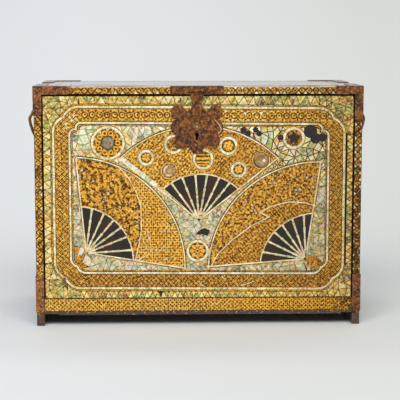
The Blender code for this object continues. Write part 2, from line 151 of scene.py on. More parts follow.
# Roundels: centre, outer radius and what is drawn in them
roundels = {
    "upper_left": dict(at=(-154.5, 317.0), radius=28.8, drawing="rosette"),
    "upper_right": dict(at=(162.5, 324.7), radius=18.8, drawing="star"),
    "lower": dict(at=(-1.9, 130.3), radius=19.1, drawing="chrysanthemum"),
    "leaf_left": dict(at=(-89.6, 291.6), radius=13.6, drawing="flower"),
    "leaf_lock": dict(at=(-42.9, 314.2), radius=16.2, drawing="plain"),
    "leaf_bars": dict(at=(7.6, 288.8), radius=17.9, drawing="bars"),
    "leaf_right": dict(at=(50.7, 311.6), radius=15.7, drawing="hexagon"),
    "leaf_low_right": dict(at=(68.5, 270.9), radius=13.6, drawing="hexagon"),
}
ring_width = 4.2
shell_discs = {
    "left": dict(at=(-50.5, 269.0), radius=11.2, ring=13.9),
    "right": dict(at=(106.7, 286.8), radius=12.9, ring=14.8),
}

# The ground of the field is warmer to the right of this x and black above this z there; below the
# last height its shells are darker
dark_from_x = 60.0
dark_from_z = 262.0
low_ground_top = 235.0

# Places where the shell has come away: circles as x, z and radius, and one patch
bare_spots = [
    (191.0, 336.0, 11.5), (199.5, 324.0, 9.0), (211.5, 325.5, 7.6), (76.2, 338.0, 5.4), (84.0, 332.4, 5.2),
    (97.0, 338.8, 4.8), (103.0, 332.2, 4.8), (139.5, 325.5, 5.4),
]
bare_patch = [(-5.0, 158.0), (0.4, 159.0), (6.4, 159.7), (15.3, 156.0), (17.9, 161.4), (19.6, 165.9),
              (10.0, 170.3), (3.8, 167.7), (0.4, 165.0)]
top_scar = [(-203.0, 99.5), (-176.0, 97.5), (-150.0, 99.0), (-152.0, 101.5), (-201.0, 103.0)]
worn_corner = [(-231.0, 82.5, 2.6), (-230.0, 76.5, 3.6), (-228.5, 70.5, 3.8), (-233.5, 72.5, 2.4),
               (-226.5, 66.0, 2.4)]
lost_triangle = (-67.0, 56.5)

# Places mended with lacquer beside the side fans' pivots, and scratches filled with shell
mended_patches = [
    [(-213.5, 139.0), (-211.0, 108.0), (-203.0, 101.0), (-192.0, 104.0), (-198.5, 118.0), (-204.0, 137.0)],
    [(186.0, 121.0), (185.0, 99.0), (206.0, 99.0), (206.0, 122.0)],
]
scratches = [
    [(-2.0, 77.0), (3.0, 73.0), (14.4, 65.2)], [(73.2, 69.2), (84.0, 72.0), (95.7, 77.0)],
    [(-87.9, 164.5), (-86.5, 156.0), (-85.4, 148.0)], [(-76.9, 121.8), (-66.0, 132.0), (-58.0, 139.1)],
    [(-59.6, 165.2), (-56.0, 170.0), (-52.5, 178.0)], [(-45.8, 168.6), (-41.5, 179.0)],
    [(-95.0, 139.0), (-88.0, 134.0), (-70.0, 131.0)], [(40.0, 86.0), (47.0, 78.0)],
]

# Small pieces of shell on the rail and in the band: x, x and z, or x, z and width
rail_triangles = (-221.4, -140.9, -128.5, -106.3, -83.3, -70.1, -47.9)
frame_stars = ((-212.0, 363.8), (-207.9, 357.0), (-215.5, 355.3), (-224.9, 349.4), (-224.1, 342.6),
               (-218.8, 361.2))
band_triangles = ((79.1, 368.6, 6.0), (92.2, 368.2, 4.8), (106.3, 368.8, 6.2), (45.4, 372.0, 4.8),
                  (58.2, 357.4, 4.8), (98.8, 361.0, 3.6), (111.7, 357.0, 4.0), (139.0, 362.0, 3.6),
                  (84.0, 357.0, 3.4))

# Nails' places and a painted highlight along the lock plate's edge, on the front as x and z, on the top as
# x and y
mount_nails = ((-273.0, 362.0), (273.0, 354.5), (-225.0, 405.5), (238.0, 405.5), (-272.8, 77.0),
               (272.8, 77.0), (-272.8, 34.0), (272.8, 34.0))
plate_nails = ((-36.0, 370.0), (28.0, 369.0), (-35.0, 319.0), (30.0, 316.0))
painted_highlight_edge = ((26.5, 356.5), (32.0, 351.8), (36.6, 345.0), (38.6, 340.0), (36.5, 335.5), (33.4, 332.0))
top_nails = ((-38.0, 32.0), (-16.0, 32.0), (-4.0, 28.0), (31.0, 32.0), (-230.0, 35.0), (-221.0, 78.0),
             (231.0, 35.0), (-232.0, 245.0), (232.0, 245.0))

# How many small things there are, and how finely they are made
streaks_on_top = 46
speck_share = 0.12
kept_on_post = {-1: 0.22, 1: 0.8}
curl_pitch = 12.0
nail_sides = 10
bend_steps = 36
scatter_tries = 30
least_bend = 0.12


def srgb(red, green, blue):
    """A colour given as 0 to 255 in sRGB, as linear values."""
    return tuple(((value / 255.0 + 0.055) / 1.055) ** 2.4 if value > 10 else value / 3294.6
                 for value in (red, green, blue))


gold_bright = srgb(255, 204, 86)
gold_plain = srgb(238, 157, 48)
gold_spark = srgb(255, 216, 118)
gold_deep = srgb(184, 112, 34)
lacquer_brown = srgb(98, 53, 14)
lacquer_dark = srgb(36, 21, 8)
lacquer_black = srgb(38, 33, 33)
# Tone of the chest's right end: partly wear, partly painted shade where the light falls off
wear_and_shade_tone = srgb(132, 106, 72)
# A painted highlight: the pale colour of an edge that catches the light
painted_rim_highlight = srgb(214, 184, 140)
pearl_pink = srgb(244, 184, 140)
crack_brown = srgb(104, 78, 40)
iron_dark = srgb(96, 58, 30)
iron_light = srgb(166, 102, 46)
iron_red = srgb(108, 54, 38)
iron_shade = srgb(60, 38, 32)
iron_pit = srgb(34, 20, 12)
iron_rubbed = srgb(226, 168, 104)
lock_tint = srgb(230, 222, 196)


def palette(*colours):
    """The colours of pieces that differ from each other, each given as srgb takes it."""
    return [srgb(*colour) for colour in colours]


border_shells = palette(
    (216, 200, 84), (238, 214, 104), (248, 234, 152), (166, 168, 62), (230, 180, 66), (136, 146, 60),
    (240, 198, 92), (158, 180, 88), (222, 200, 118), (188, 142, 46), (252, 240, 176), (116, 126, 58),
    (226, 216, 150), (204, 168, 80),
)
amber_shells = palette(
    (192, 127, 24), (232, 167, 42), (122, 102, 22), (244, 193, 58), (98, 92, 24), (164, 88, 18),
    (184, 163, 36), (218, 179, 60), (92, 58, 16), (252, 218, 90),
)
ground_shells = palette(
    (236, 234, 200), (166, 194, 148), (244, 232, 198), (246, 214, 184), (208, 220, 188), (126, 158, 120),
    (230, 212, 146), (184, 198, 130), (255, 252, 236), (190, 214, 180), (196, 178, 142), (92, 112, 82),
    (250, 244, 214), (214, 226, 176), (118, 104, 74), (228, 190, 160),
)
pale_shells = ground_shells[:5]
string_shells = palette(
    (238, 226, 158), (214, 208, 136), (248, 228, 184), (214, 214, 166), (250, 242, 206), (222, 196, 120),
    (188, 196, 140), (238, 206, 168), (244, 232, 160), (252, 246, 220),
)
speck_shells = palette((176, 168, 150), (206, 196, 176), (150, 140, 120), (196, 190, 150))
rib_shells = palette((214, 192, 132), (232, 214, 160), (196, 196, 138), (222, 184, 146), (240, 226, 180))


def point_at(centre, radius, degrees):
    """A point of a circle."""
    angle = math.radians(degrees)
    return (centre[0] + radius * math.cos(angle), centre[1] + radius * math.sin(angle))


def arc(centre, radius, start, end, spacing=4.0):
    """Points along an arc from one angle to another, in degrees."""
    steps = max(2, round(abs(math.radians(end - start)) * radius / spacing))
    return [point_at(centre, radius, start + (end - start) * step / steps) for step in range(steps + 1)]


def circle(centre, radius, spacing=2.0):
    """A closed circle of points."""
    return arc(centre, radius, 0.0, 360.0, spacing)[:-1]


def rounded_frame(left, right, foot, top, radius):
    """A rectangle with round corners, read from the upper left corner clockwise."""
    path = arc((left + radius, top - radius), radius, 180.0, 90.0)
    path += arc((right - radius, top - radius), radius, 90.0, 0.0)
    path += arc((right - radius, foot + radius), radius, 0.0, -90.0)
    path += arc((left + radius, foot + radius), radius, -90.0, -180.0)
    return path


def lobed_corner(x, z, right, up, reach, radius):
    """Two lobes that meet in a point at one corner, from its upright side to its level one."""
    spread = math.sqrt(max(0.0, (reach + radius) ** 2 - 2.0 * reach**2))
    meet = 0.5 * (reach + radius - spread)
    turn = math.degrees(math.atan2(reach - meet, radius - meet))
    upright = arc((radius, -reach), radius, 180.0, 180.0 - turn, 2.0)
    level = arc((reach, -radius), radius, 90.0 + turn, 90.0, 2.0)
    return [(x + right * u, z + up * v) for u, v in upright + level]


def lobed_corners(left, right, foot, top, upper, lower, out):
    """The four corners of a field moved outwards, from the upper left one clockwise."""
    left, right, foot, top = left - out, right + out, foot - out, top + out
    upper, lower = [tuple(size + out for size in lobes) for lobes in (upper, lower)]
    corners = [lobed_corner(left, top, 1, 1, *upper), lobed_corner(right, top, -1, 1, *upper)[::-1],
               lobed_corner(right, foot, -1, -1, *lower), lobed_corner(left, foot, 1, -1, *lower)[::-1]]
    return [[(x, z - frame_fall * x) for x, z in corner] for corner in corners]


def outer_frame(out=0.0):
    """The path of the outer string, or of a line outside it."""
    return sum(lobed_corners(*outer_field, out), [])


def inner_frame(out=0.0):
    """The path of the inner string, or of a line outside it."""
    return sum(lobed_corners(*inner_field, out), [])


def rectangle(left, foot, right, top):
    """The corners of a rectangle."""
    return [(left, foot), (right, foot), (right, top), (left, top)]


def three_sides(reach, foot, top):
    """The sides and the top of an opening, from its lower left corner."""
    return [(-reach, foot), (-reach, top), (reach, top), (reach, foot)]


def middle_of(points):
    """The mean of some points."""
    return sum(points, Vector((0, 0))) / len(points)


def met(start, degrees, centre, radius):
    """Where a line from a point meets a circle round another."""
    along = Vector(point_at((0.0, 0.0), 1.0, degrees))
    back = Vector(start) - Vector(centre)
    reach = -along.dot(back) + math.sqrt(along.dot(back) ** 2 - back.length_squared + radius**2)
    return Vector(start) + reach * along


def arc_between(start, sides, centre, radius, inset=0.0):
    """An arc from one to another of two lines that leave a point."""
    ends = [met(start, side, centre, radius) - Vector(centre) for side in sides]
    first, last = (math.degrees(math.atan2(end.y, end.x)) % 360.0 for end in ends)
    if last > 270.0:
        last -= 360.0
    return arc(centre, radius - inset, first, last)


def leaf_edge(fan, inset=0.0):
    """The outer arc of a fan's leaf, from its first side to its second."""
    return arc_between(fan["pivot"], fan["leaf"], fan["arc"], fan["reach"], inset)


def black_edge(fan, sides, inset=0.0):
    """The arc between the black sectors and the leaf, from one direction to another."""
    return arc_between(fan["pivot"], sides, fan["black_arc"], fan["black"], inset)


def fan_outline(fan):
    """The whole fan as one loop: its pivot, its sides and its outer arc."""
    return [fan["pivot"]] + leaf_edge(fan)


def leaf_outline(fan):
    """The leaf alone, between the black sectors and the outer arc."""
    return leaf_edge(fan) + list(reversed(black_edge(fan, fan["leaf"])))


def inside(point, loop):
    """Whether a point lies in a closed loop."""
    x, z = point
    crossed = False
    for (ax, az), (bx, bz) in zip(loop, loop[1:] + loop[:1]):
        if (az > z) != (bz > z) and x < ax + (z - az) * (bx - ax) / (bz - az):
            crossed = not crossed
    return crossed


def in_region(point, loops):
    """Whether a point lies in an odd number of the loops, so that a loop in a loop is a hole."""
    return sum(inside(point, loop) for loop in loops) % 2 == 1


def resampled(loop, spacing, draw):
    """The same closed loop with points about one spacing apart, a little unevenly."""
    lengths = [math.dist(a, b) for a, b in zip(loop, loop[1:] + loop[:1])]
    count = max(3, round(sum(lengths) / spacing))
    marks = [(step + draw.uniform(-0.22, 0.22)) * sum(lengths) / count for step in range(count)]
    points, gone, index = [], 0.0, 0
    for mark in marks:
        mark = max(mark, 0.0)
        while mark > gone + lengths[index]:
            gone += lengths[index]
            index += 1
        share = (mark - gone) / lengths[index]
        (ax, az), (bx, bz) = loop[index], loop[(index + 1) % len(loop)]
        points.append((ax + share * (bx - ax), az + share * (bz - az)))
    return points


def triangulated(loops, extra=()):
    """The points and triangles that fill a region of loops, using the extra points too."""
    points = [Vector(point) for loop in loops for point in loop]
    edges = []
    start = 0
    for loop in loops:
        edges += [(start + i, start + (i + 1) % len(loop)) for i in range(len(loop))]
        start += len(loop)
    points += [Vector(point) for point in extra]
    verts, _, faces, *_ = delaunay_2d_cdt(points, edges, [], 0, 1e-4)
    return verts, [face for face in faces if in_region(middle_of([verts[i] for i in face]), loops)]


def scattered(loops, spacing, draw, edge=0.5):
    """Random points in a region, no two nearer than the spacing, and none too near its edge."""
    xs = [x for x, _ in loops[0]]
    zs = [z for _, z in loops[0]]
    cells = {}
    border = [point for loop in loops for point in resampled(loop, 0.7 * spacing, draw)]
    for point in border:
        cells.setdefault((int(point[0] // spacing), int(point[1] // spacing)), []).append((point, edge))
    found = []
    for _ in range(int(scatter_tries * (max(xs) - min(xs)) * (max(zs) - min(zs)) / spacing**2 / 4)):
        point = (draw.uniform(min(xs), max(xs)), draw.uniform(min(zs), max(zs)))
        column, row = int(point[0] // spacing), int(point[1] // spacing)
        near = [other for i in (-1, 0, 1) for j in (-1, 0, 1)
                for other in cells.get((column + i, row + j), [])]
        free = all(math.dist(point, other) > share * spacing for other, share in near)
        if free and in_region(point, loops):
            cells.setdefault((column, row), []).append((point, 1.0))
            found.append(point)
    return found


def inset_polygon(points, distance):
    """A convex polygon with every side moved in, or nothing where it is too small for that."""
    lines = []
    for a, b in zip(points, points[1:] + points[:1]):
        along = (b - a).normalized()
        shift = distance * Vector((-along.y, along.x))
        lines.append((a + shift, b + shift))
    corners = []
    for (a, b), (c, d) in zip(lines[-1:] + lines[:-1], lines):
        spread = (b - a).cross(d - c)
        if abs(spread) < 1e-6:
            return None
        corners.append(a + (b - a) * ((c - a).cross(d - c) / spread))
    for (a, b), c, d in zip(lines, corners, corners[1:] + corners[:1]):
        if (b - a).dot(d - c) <= 0.0:
            return None
    return corners


def convex_area(points):
    """The area of an anticlockwise polygon, or 0 where a corner of it bends too little or inwards."""
    total = 0.0
    for a, b, c in zip(points, points[1:] + points[:1], points[2:] + points[:2]):
        if (b - a).cross(c - b) < least_bend * (b - a).length * (c - b).length:
            return 0.0
        total += 0.5 * a.cross(b)
    return total


def shards(loops, spacing, joint, merged, draw):
    """Shards of shell that fill a region: triangles and, where two are merged, four-sided ones."""
    loops = [resampled(loop, spacing, draw) for loop in loops]
    verts, faces = triangulated(loops, scattered(loops, 0.95 * spacing, draw, 0.62))
    by_edge = {}
    for index, face in enumerate(faces):
        for a, b in zip(face, face[1:] + face[:1]):
            by_edge.setdefault(frozenset((a, b)), []).append(index)
    pairs = [(sorted(edge), two) for edge, two in by_edge.items() if len(two) == 2]
    pairs.sort(key=lambda pair: (pair[1], pair[0]))
    draw.shuffle(pairs)
    used = set()
    outlines = []
    for edge, (one, other) in pairs:
        if one in used or other in used or draw.random() > merged:
            continue
        face = list(faces[one])
        far = next(i for i in faces[other] if i not in edge)
        turn = next(i for i in range(3) if {face[i], face[(i + 1) % 3]} == set(edge))
        ring = face[:turn + 1] + [far] + face[turn + 1:]
        polygon = [verts[i].copy() for i in ring]
        if convex_area(polygon) > 0.0:
            outlines.append(polygon)
            used |= {one, other}
    outlines += [[verts[i].copy() for i in face]
                 for index, face in enumerate(faces) if index not in used]
    made = [inset_polygon(outline, 0.5 * joint) for outline in outlines]
    return [outline for outline in made if outline]


def surface(origin, right, up):
    """A flat face: turns (u, v, height) in millimetres into a point in metres."""
    right, up = Vector(right), Vector(up)
    out = right.cross(up)

    def place(u, v, height):
        return Vector(origin) + mm * (u * right + v * up + height * out)
    return place


def forward_face(y):
    """A face that looks to the front, at one depth in metres."""
    return surface((0.0, y, 0.0), (1, 0, 0), (0, 0, 1))


front = forward_face(panel_low.y)
rail_face = forward_face(top_low.y)
top_face = surface((0.0, top_low.y, top_high.z), (1, 0, 0), (0, 1, 0))
middle_y = 0.5 * (top_low.y + top_high.y)
left_face = surface((top_low.x, middle_y, 0.0), (0, -1, 0), (0, 0, 1))
right_face = surface((top_high.x, middle_y, 0.0), (0, 1, 0), (0, 0, 1))
back_face = surface((0.0, top_high.y, 0.0), (-1, 0, 0), (0, 0, 1))


class Relief:
    """Thin closed pieces of one material on one face, gathered in one mesh with a shade for each."""

    def __init__(self, name, place=front, seed=1):
        self.name = name
        self.place = place
        self.draw = random.Random(seed)
        self.bm = bmesh.new()
        self.shade = self.bm.loops.layers.float_color.new("shade")
        self.made = 0

    def _raised(self, height):
        """The height of the next piece, a little off the last one's, so that overlaps stay clean."""
        self.made += 1
        return height + layer_step * (self.made % layers)

    def _colour(self, faces, colour):
        red, green, blue = colour
        value = (red, green, blue, self.draw.random())
        for loop in (loop for face in faces for loop in face.loops):
            loop[self.shade] = value

    def plate(self, outline, height, colour=(1, 1, 1), tilt=0.0, taper=0.0):
        """One flat piece, tapered towards its top and tilted a little."""
        height = self._raised(height)
        outline = [Vector(point) for point in outline]
        centre = middle_of(outline)
        lean = Vector((self.draw.uniform(-tilt, tilt), self.draw.uniform(-tilt, tilt)))
        low = [self.bm.verts.new(self.place(p.x, p.y, -sunk)) for p in outline]
        high = []
        for p in outline:
            q = centre + (p - centre) * (1.0 - taper)
            high.append(self.bm.verts.new(self.place(q.x, q.y, height + lean.dot(q - centre))))
        faces = [self.bm.faces.new(high), self.bm.faces.new(list(reversed(low)))]
        for i in range(len(outline)):
            j = (i + 1) % len(outline)
            faces.append(self.bm.faces.new((low[i], low[j], high[j], high[i])))
        self._colour(faces, colour)

    def sheet(self, loops, height):
        """One flat piece that may be hollow: the first loop is its edge, and the others are holes."""
        points, faces = triangulated([list(loop) for loop in loops])
        used = sorted({i for face in faces for i in face})
        low = {i: self.bm.verts.new(self.place(*points[i], -sunk)) for i in used}
        high = {i: self.bm.verts.new(self.place(*points[i], height)) for i in used}
        made, sides = [], []
        for a, b, c in faces:
            made.append(self.bm.faces.new((high[a], high[b], high[c])))
            made.append(self.bm.faces.new((low[c], low[b], low[a])))
            sides += [(a, b), (b, c), (c, a)]
        both_ways = set(sides)
        for a, b in sides:
            if (b, a) not in both_ways:
                made.append(self.bm.faces.new((low[a], low[b], high[b], high[a])))
        self._colour(made, (1, 1, 1))

    def ribbon(self, path, width, height, colours=((1, 1, 1),), piece=0.0, closed=False, joint=0.35):
        """A strip along a path, in one length or cut into pieces of about one length."""
        path = [Vector(point) for point in path]
        if closed:
            path.append(path[0].copy())
        path = [p for i, p in enumerate(path) if i == 0 or (p - path[i - 1]).length > 0.05]
        lengths = [(b - a).length for a, b in zip(path, path[1:])]
        total = sum(lengths)
        cuts = [0.0]
        while piece and cuts[-1] + 1.4 * piece < total:
            cuts.append(cuts[-1] + piece * self.draw.uniform(0.7, 1.3))
        cuts.append(total)
        for start, end in zip(cuts, cuts[1:]):
            first = start + (0.5 * joint if start else 0.0)
            last = end - (0.5 * joint if end < total else 0.0)
            line = stretch_of(path, lengths, first, last)
            if len(line) > 1:
                self._strip(line, width, self._raised(height), self.draw.choice(colours))

    def _strip(self, line, width, height, colour):
        """One length of ribbon, with its corners mitred; the width may depend on the share gone."""
        width_at = width if callable(width) else (lambda _: width)
        total = sum((b - a).length for a, b in zip(line, line[1:]))
        gone = 0.0
        left, right = [], []
        for i, p in enumerate(line):
            before = (p - line[i - 1]).normalized() if i else (line[1] - p).normalized()
            after = (line[i + 1] - p).normalized() if i + 1 < len(line) else before
            along = (before + after).normalized()
            gone += (p - line[i - 1]).length if i else 0.0
            reach = 0.5 * width_at(gone / total) / max(0.5, along.dot(after))
            side = Vector((-along.y, along.x)) * reach
            left.append(p + side)
            right.append(p - side)
        rows = [[self.bm.verts.new(self.place(p.x, p.y, h)) for p in edge]
                for edge, h in ((left, -sunk), (left, height), (right, height), (right, -sunk))]
        faces = []
        for i in range(len(line) - 1):
            for one, other in zip(rows, rows[1:] + rows[:1]):
                faces.append(self.bm.faces.new((one[i], one[i + 1], other[i + 1], other[i])))
        faces.append(self.bm.faces.new([row[0] for row in reversed(rows)]))
        faces.append(self.bm.faces.new([row[-1] for row in rows]))
        self._colour(faces, colour)

    def dome(self, at, radius, height):
        """The low round head of a nail."""
        around = [360.0 * side / nail_sides for side in range(nail_sides)]
        rings = [[self.bm.verts.new(self.place(*point_at(at, share * radius, turn), rise))
                  for turn in around]
                 for share, rise in ((1.0, -sunk), (1.0, 0.25 * height), (0.72, 0.8 * height))]
        tip = self.bm.verts.new(self.place(*at, height))
        faces = [self.bm.faces.new(list(reversed(rings[0])))]
        for lower, upper in zip(rings, rings[1:]):
            for i in range(nail_sides):
                j = (i + 1) % nail_sides
                faces.append(self.bm.faces.new((lower[i], lower[j], upper[j], upper[i])))
        last = rings[-1]
        faces += [self.bm.faces.new((a, b, tip)) for a, b in zip(last, last[1:] + last[:1])]
        self._colour(faces, (1, 1, 1))

    def finish(self, material, slot):
        """Turn the pieces into one object that rides on the case."""
        bmesh.ops.recalc_face_normals(self.bm, faces=self.bm.faces)
        mesh = mesh_from(self.bm, self.name)
        mesh.materials.append(material)
        made = placed(self.name, mesh)
        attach(made, "case")


def mesh_from(bm, name):
    """The mesh that a bmesh holds."""
    mesh = bpy.data.meshes.new(name)
    bm.to_mesh(mesh)
    bm.free()
    return mesh


def placed(name, data):
    """A new object in the scene."""
    made = bpy.data.objects.new(name, data)
    bpy.context.scene.collection.objects.link(made)
    return made


def stretch_of(path, lengths, start, end):
    """The part of a path between two distances along it."""
    line, gone = [], 0.0
    for (a, b), length in zip(zip(path, path[1:]), lengths):
        if gone + length > start and gone < end:
            if not line:
                line.append(a.lerp(b, max(0.0, (start - gone) / length)))
            line.append(a.lerp(b, min(1.0, (end - gone) / length)))
        gone += length
    return line


class Field:
    """A value at each point of a surface, made of shader nodes, so that a pattern reads as a formula."""

    def __init__(self, tree, socket):
        self.tree = tree
        self.socket = socket

    def math(self, operation, *others, clamp=False):
        node = self.tree.nodes.new("ShaderNodeMath")
        node.operation = operation
        node.use_clamp = clamp
        for value, entry in zip((self, *others), node.inputs):
            feed(self.tree, entry, value)
        return Field(self.tree, node.outputs[0])

    def __add__(self, other):
        return self.math("ADD", other)

    def __sub__(self, other):
        return self.math("SUBTRACT", other)

    def __mul__(self, other):
        return self.math("MULTIPLY", other)

    def __abs__(self):
        return self.math("ABSOLUTE")

    def either(self, other):
        """The greater of two fields."""
        return self.math("MAXIMUM", other)

    def both(self, other):
        """The lesser of two fields."""
        return self.math("MINIMUM", other)

    def cell(self, period, start=0.0):
        """Distance from the nearest of a row of evenly spaced marks, with its sign."""
        moved = self - start
        return moved - (moved * (1.0 / period)).math("ROUND") * period

    def hypot(self, other):
        """The distance from 0 in two directions."""
        return (self * self + other * other).math("SQRT")

    def line(self, at, half_width, soft):
        """1 where the field is within half a width of a value, falling to 0 over the soft edge."""
        return ((abs(self - at) - half_width) * (-1.0 / soft)).math("ADD", 1.0, clamp=True)

    def above(self, level, soft):
        """0 below a level and 1 above it, over a soft step."""
        return ((self - level) * (1.0 / soft)).math("ADD", 0.5, clamp=True)

    def below(self, level, soft):
        """1 below a level and 0 above it, over a soft step."""
        return ((self - level) * (-1.0 / soft)).math("ADD", 0.5, clamp=True)


def feed(tree, entry, value):
    """Link a field or a socket to an input, or set it to a constant."""
    if isinstance(value, Field):
        value = value.socket
    if isinstance(value, bpy.types.NodeSocket):
        tree.links.new(value, entry)
    elif isinstance(value, (int, float)):
        entry.default_value = value
    else:
        entry.default_value = (*value, 1.0) if len(value) == 3 and entry.type == "RGBA" else value


class Finish:
    """A Principled material with the coordinates of its surface, in millimetres, at hand."""

    def __init__(self, name, roughness, metallic=0.0, specular=0.5, coat=0.0, coat_roughness=0.1):
        self.material = bpy.data.materials.new(name)
        self.material.use_nodes = True
        self.tree = self.material.node_tree
        self.shader = self.tree.nodes["Principled BSDF"]
        for entry, value in (("Roughness", roughness), ("Metallic", metallic),
                             ("Specular IOR Level", specular), ("Coat Weight", coat),
                             ("Coat Roughness", coat_roughness)):
            self.shader.inputs[entry].default_value = value
        self.coordinates = self.tree.nodes.new("ShaderNodeTexCoord").outputs["Object"]
        split = self.tree.nodes.new("ShaderNodeSeparateXYZ")
        self.tree.links.new(self.coordinates, split.inputs[0])
        self.x, self.y, self.z = (Field(self.tree, out) * (1.0 / mm) for out in split.outputs)

    def noise(self, size, detail=3.0, roughness=0.5):
        """Soft noise with blotches of about one size in millimetres."""
        node = self.tree.nodes.new("ShaderNodeTexNoise")
        self.tree.links.new(self.coordinates, node.inputs["Vector"])
        for name, value in (("Scale", 1.0 / (size * mm)), ("Detail", detail), ("Roughness", roughness)):
            node.inputs[name].default_value = value
        return Field(self.tree, node.outputs[0])

    def mix(self, share, first, second, blend="MIX"):
        """The first colour where the share is 0 and the second, or their blend, where it is 1."""
        node = self.tree.nodes.new("ShaderNodeMix")
        node.data_type = "RGBA"
        node.blend_type = blend
        feed(self.tree, node.inputs["Factor"], share)
        feed(self.tree, node.inputs[6], first)
        feed(self.tree, node.inputs[7], second)
        return node.outputs[2]

    def times(self, colour, factor):
        """A colour multiplied by another."""
        return self.mix(1.0, colour, factor, "MULTIPLY")

    def aged_and_shaded(self, colour, most=0.42):
        """A colour, darker towards the right end of the chest: partly wear, that end being the more worn
        one, and partly painted shade for light that falls off to the right.
        """
        return self.mix(self.x.above(175.0, 170.0) * most, colour, self.times(colour, wear_and_shade_tone))

    def colour(self, value):
        """Give the surface its colour."""
        feed(self.tree, self.shader.inputs["Base Color"], value)

    def gloss(self, value):
        """Give the surface a roughness that varies."""
        feed(self.tree, self.shader.inputs["Roughness"], value)

    def bump(self, height, depth):
        """Raise the surface by a field times a depth in millimetres."""
        node = self.tree.nodes.new("ShaderNodeBump")
        node.inputs["Strength"].default_value = 1.0
        node.inputs["Distance"].default_value = depth * mm
        feed(self.tree, node.inputs["Height"], height)
        self.tree.links.new(node.outputs[0], self.shader.inputs["Normal"])

    def shade(self):
        """The colour and the random number that each piece of a relief carries."""
        node = self.tree.nodes.new("ShaderNodeAttribute")
        node.attribute_name = "shade"
        return node.outputs["Color"], Field(self.tree, node.outputs["Alpha"])


def specks(size, detail, level, soft):
    """A pattern of specks: dark where noise of one size is above a level."""
    return lambda finish: finish.noise(size, detail).above(level, soft)


def lozenges(u, v, width, height):
    """Lozenges with dark joints and a dark middle."""
    reach = abs(u.cell(width)) * (2.0 / width) + abs(v.cell(height)) * (2.0 / height)
    return abs(reach.cell(1.0)).below(0.25, 0.14)


def scales(u, v, width, height):
    """Rows of dots set brick-wise, with smaller ones between them."""
    one = u.cell(width).hypot(v.cell(height))
    other = u.cell(width, 0.5 * width).hypot(v.cell(height, 0.5 * height))
    near = one.both(other)
    return near.above(0.46 * width, 0.10 * width).either(near.below(0.20 * width, 0.10 * width))


def small_rings(u, v, pitch):
    """A grid of small rings with a dark middle and dark corners between them."""
    near = u.cell(pitch).hypot(v.cell(pitch))
    return near.below(0.21 * pitch, 0.08 * pitch).either(near.above(0.50 * pitch, 0.12 * pitch))


def weave(finish, u, v, pitch):
    """Fine slanting lines crossed by others, all of them broken and a little wavy."""
    wander = finish.noise(6.0, 3.0) * 4.0
    slanted = abs((u * 0.78 + v * 0.63 + wander).cell(pitch)).below(0.19 * pitch, 0.14 * pitch)
    crossed = abs((u * 0.63 - v * 0.78 + wander).cell(1.4 * pitch)).below(0.16 * pitch, 0.14 * pitch)
    return slanted.either(crossed) * finish.noise(3.2, 3.0).above(0.46, 0.10)


def circle_row(u, v, pitch, start, radius):
    """A row of circles with a dark curl in each, and dots and a line above and below them."""
    near = u.cell(pitch, start).hypot(v)
    curl = u.cell(pitch, start + 0.8).hypot(v - 0.6).below(1.7, 0.5)
    between = u.cell(pitch, start + 0.5 * pitch).hypot(abs(v) - 1.35 * radius).below(1.9, 0.6)
    edges = lozenges(u, v, 0.5 * pitch, 5.4) * abs(v).above(1.75 * radius, 0.8)
    return near.line(radius, 0.95, 0.4).either(curl).either(between).either(edges)


def gold_finish(name, pattern, shift=0.0, worn=0.0, varied=0.0):
    """Gold drawing on brown lacquer, uneven and rubbed through in places, with the pattern's dark lines.

    The shift, a number or a function of the finish, makes the gold deeper; worn bares more lacquer.
    """
    finish = Finish(name, 0.42, metallic=0.2, specular=0.15)
    grain = finish.noise(1.6, 3.0, roughness=0.7)
    mottle = finish.noise(3.6, 3.0, roughness=0.65)
    tone = finish.noise(26.0, 5.0, roughness=0.7)
    gold = finish.mix(mottle.above(0.5, 0.16), gold_plain, gold_bright)
    deeper = tone + (shift(finish) if callable(shift) else shift)
    gold = finish.mix(deeper.above(0.55, 0.16) * 0.55, gold, gold_deep)
    if varied:
        gold = finish.mix(finish.shade()[1] * varied, gold, gold_deep)
    lines = pattern(finish)
    colour = finish.mix(lines * 0.92, gold, lacquer_dark)
    rubbed = (mottle * 0.7 + grain * 0.3 - worn).below(0.455, 0.08) * 0.75
    colour = finish.mix(rubbed, colour, lacquer_brown)
    colour = finish.mix((mottle * 0.8 + tone * 0.2).above(0.575, 0.07) * 0.6, colour, gold_spark)
    lost = (tone * 0.6 + mottle * 0.4 - worn).below(0.39, 0.06) * 0.8
    colour = finish.mix(lost, colour, lacquer_dark)
    finish.colour(finish.aged_and_shaded(colour))
    finish.gloss((lines * 0.12 + grain * 0.2).math("ADD", 0.30))
    finish.bump(lines * -1.0 + grain * 0.3, 0.08)
    return finish.material


def band_pattern(finish):
    """The gold band round the field: circles along its top, lozenges along its other sides."""
    middle_x, middle_z = 0.5 * (inner_left + inner_right), 0.5 * (inner_foot + inner_top)
    from_side = abs(finish.x - middle_x) - (0.5 * (inner_right - inner_left))
    z = finish.z + finish.x * frame_fall
    from_top = abs(z - middle_z) - (0.5 * (inner_top - inner_foot))
    upright = (from_side - from_top).above(0.0, 0.5)
    out = from_side.either(from_top) - 0.5 * (outer_top - inner_top)
    along = finish.x + (z - finish.x) * upright
    circles = circle_row(along, out, 12.7, -193.4, 4.9)
    diaper = lozenges(along, out, 8.6, 8.6) * finish.noise(9.0, 3.0).above(0.38, 0.12)
    top = (z - middle_z).above(0.0, 1.0) * (upright * -1.0 + 1.0) * finish.x.above(-200.0, 1.0)
    return circles * top + diaper * (top * -1.0 + 1.0)


